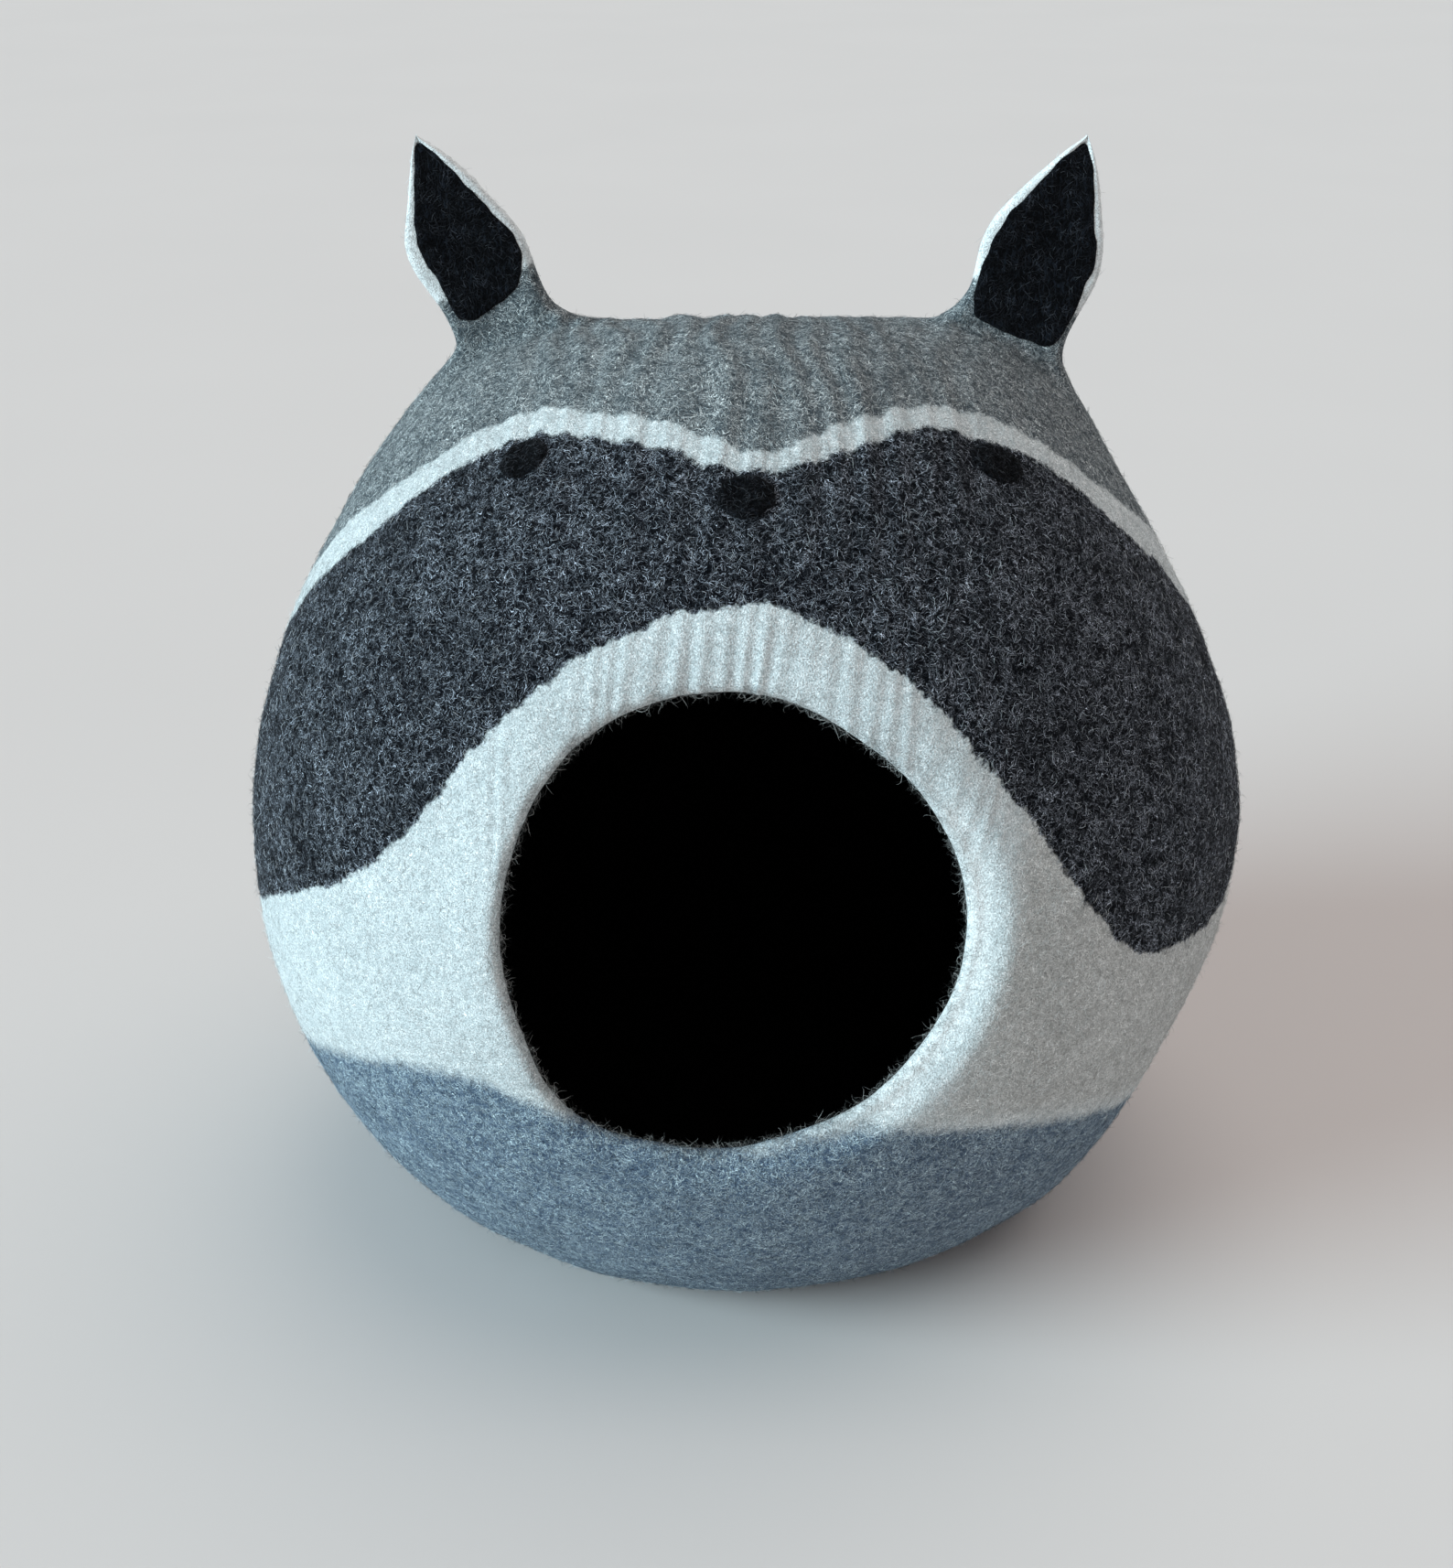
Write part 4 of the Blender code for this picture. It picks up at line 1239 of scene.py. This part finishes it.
def strand_mesh(name, paths, outs, width, tones):
    """Each path as a closed three-sided strand that tapers to a point at both ends."""
    count, joints, _ = paths.shape
    ahead = of_length_one(np.gradient(paths, axis=1))
    aside = of_length_one(np.cross(ahead, outs))
    over = np.cross(aside, ahead)
    points = [paths[:, :1]]
    for joint in range(1, joints - 1):
        girth = math.sin(math.pi * joint / (joints - 1)) ** STRAND_TAPER * width / 2
        for corner in range(3):
            turn = math.pi / 2 + corner * math.tau / 3
            offset = math.cos(turn) * aside[:, joint] + math.sin(turn) * over[:, joint]
            points.append((paths[:, joint] + girth * offset)[:, None])
    points.append(paths[:, -1:])
    points = np.concatenate(points, axis=1)
    each = points.shape[1]

    triangles = []
    for corner in range(3):
        beside = (corner + 1) % 3
        triangles.append((0, 1 + beside, 1 + corner))
        for ring in range(joints - 3):
            here, after = 1 + ring * 3, 4 + ring * 3
            triangles.append((here + corner, here + beside, after + beside))
            triangles.append((here + corner, after + beside, after + corner))
        last = 1 + (joints - 3) * 3
        triangles.append((last + corner, last + beside, each - 1))
    corners = (np.array(triangles)[None] + (np.arange(count) * each)[:, None, None]).reshape(-1)

    mesh = bpy.data.meshes.new(name)
    mesh.vertices.add(count * each)
    mesh.vertices.foreach_set("co", points.reshape(-1))
    mesh.loops.add(len(corners))
    mesh.loops.foreach_set("vertex_index", corners.astype(np.int32))
    mesh.polygons.add(len(corners) // 3)
    mesh.polygons.foreach_set("loop_start", np.arange(0, len(corners), 3, dtype=np.int32))
    mesh.update(calc_edges=True)
    mesh.validate()
    set_mark(mesh, "tone", np.repeat(tones, each))
    # The strand's tone is also its place across the map, so that the map keeps its colour.
    chart = mesh.uv_layers.new(name="OFBake")
    along = np.array([0, *np.repeat(np.arange(1, joints - 1), 3), joints - 1]) / (joints - 1)
    across = np.array([0.5, *(CHART_CORNERS * (joints - 2)), 0.5])
    u = np.repeat(tones, each) * CHART_SPAN + CHART_MARGIN + np.tile(across, count) * CHART_STRAND
    v = CHART_STRAND + CHART_SPAN * np.tile(along, count)
    u, v = u[corners], v[corners]
    chart.uv.foreach_set("vector", np.stack([u, v], axis=1).astype(np.float32).ravel())
    return mesh


def strand_finish(name, darkest, *lighter_tones):
    """Each strand has its own tone of the wool."""
    finish = Finish(name)
    colour = darkest
    for edges, lighter in zip(TONE_STEPS, lighter_tones):
        colour = finish.blend(finish.step(finish.mark("tone"), *edges), colour, lighter)
    return finish.finished({
        "Base Color": colour, "Roughness": STRAND_ROUGHNESS, "Specular IOR Level": STRAND_SHINE})


def add_loose_wool(lot, grown):
    """One piece of loose wool from strands grown on one or more faces."""
    paths, outs, tones = (np.concatenate(parts) for parts in zip(*grown))
    name = "loose_" + lot.name
    mesh = strand_mesh(name, paths, outs, lot.width, tones)
    loose = add_piece(name, mesh, strand_finish(name, *lot.tones))
    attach(loose, "root")


black_faces = [FeltFace(piece.data) for piece in black_pieces]
black_places = np.concatenate([face.places for face in black_faces])
starts = np.cumsum([0] + [len(face.places) for face in black_faces])[:-1]
black_corners = np.concatenate([face.corners + start for face, start in zip(black_faces, starts)])
black_tree = BVHTree.FromPolygons(black_places.tolist(), black_corners.tolist())

past_lip = shell_face.middle_mark("past_lip")
heights = shell_face.places[shell_face.corners][:, :, 2]
shown = (past_lip < SHOWN_INTO_HOLE) & (heights.min(axis=1) > SHOWN_OFF_FLOOR)
face_wool = wool_of_faces(shell_face, np.random.default_rng(BORDER_SEED))
for lot in STRAND_LOTS:
    wanted = shown & np.isin(face_wool, [WOOLS.index(wool) for wool in lot.wools])
    add_loose_wool(lot, [grow_strands(shell_face, lot, wanted, black_tree)])
at_lip = (past_lip > LIP_BAND[0]) & (past_lip < LIP_BAND[1])
add_loose_wool(LIP_LOT, [grow_strands(shell_face, LIP_LOT, at_lip)])
black_grown = []
for number, black_face in enumerate(black_faces):
    outside = black_face.outwards[black_face.corners].mean(axis=1)[:, 1] < FACING_BACK
    lot = BLACK_LOT._replace(seed=BLACK_LOT.seed + number)
    black_grown.append(grow_strands(black_face, lot, outside))
add_loose_wool(BLACK_LOT, black_grown)


# ------------------------------------------------------------------------------------------
# Where it stands: a plain pale floor, a large soft cool light from the left, a weak wide one
# from above, and the camera in front and above, at the photograph's viewing angle.
# ------------------------------------------------------------------------------------------
CAMERA_RISE = math.radians(27)
CAMERA_DISTANCE = 0.95
CAMERA_AIM = Vector((-0.0055, 0, 0.1995))
CAMERA_LENS = 46.0
CAMERA_SENSOR = 36
FLOOR_HALF = 8.0
FLOOR_TONES = ((0.6664, 0.6076, 0.588), (0.6936, 0.6324, 0.612))
FLOOR_MOTTLE = 0.4
FLOOR_ROUGHNESS = 0.9
SoftLight = namedtuple("SoftLight", "name toward spread_deg strength colour")
SOFT_LIGHTS = (
    SoftLight("soft_left", (-0.886, -0.322, 0.334), 34, 4.0, (0.66, 0.91, 1.0)),
    SoftLight("soft_above", (0.28, 0.16, 0.95), 60, 1.0, (1.0, 0.97, 0.94)),
)
LAMP_DISTANCE = 3     # for the eye only: its light is the same from any distance
ROOM_TONE = (0.95, 0.96, 0.97, 1)
ROOM_STRENGTH = 0.38

floor_mesh = bpy.data.meshes.new("pale_floor")
floor_sides = ((-1, -1), (1, -1), (1, 1), (-1, 1))
floor_corners = [(x * FLOOR_HALF, y * FLOOR_HALF, 0) for x, y in floor_sides]
floor_mesh.from_pydata(floor_corners, [], [(0, 1, 2, 3)])
plain = Finish("pale_floor")
floor_colour = plain.blend(plain.cloud(FLOOR_MOTTLE), *FLOOR_TONES)
floor_finish = plain.finished({"Base Color": floor_colour, "Roughness": FLOOR_ROUGHNESS})
floor = add_piece("pale_floor", floor_mesh, floor_finish)

for soft in SOFT_LIGHTS:
    light = bpy.data.lights.new(soft.name, "SUN")
    light.angle = math.radians(soft.spread_deg)
    light.energy = soft.strength
    light.color = soft.colour
    lamp = put_in_scene(soft.name, light)
    lamp.location = Vector(soft.toward) * LAMP_DISTANCE
    lamp.rotation_euler = Vector(soft.toward).to_track_quat("Z", "Y").to_euler()

world = bpy.data.worlds.new("pale_room")
world.use_nodes = True
world.node_tree.nodes["Background"].inputs["Color"].default_value = ROOM_TONE
world.node_tree.nodes["Background"].inputs["Strength"].default_value = ROOM_STRENGTH
bpy.context.scene.world = world
bpy.context.scene.view_settings.view_transform = "Standard"

camera_data = bpy.data.cameras.new("photo_view")
camera_data.lens = CAMERA_LENS
camera_data.sensor_width = CAMERA_SENSOR
camera = put_in_scene("photo_view", camera_data)
backwards = Vector((0, -math.cos(CAMERA_RISE), math.sin(CAMERA_RISE)))
camera.location = CAMERA_AIM + backwards * CAMERA_DISTANCE
camera.rotation_euler = (-backwards).to_track_quat("-Z", "Y").to_euler()
bpy.context.scene.camera = camera
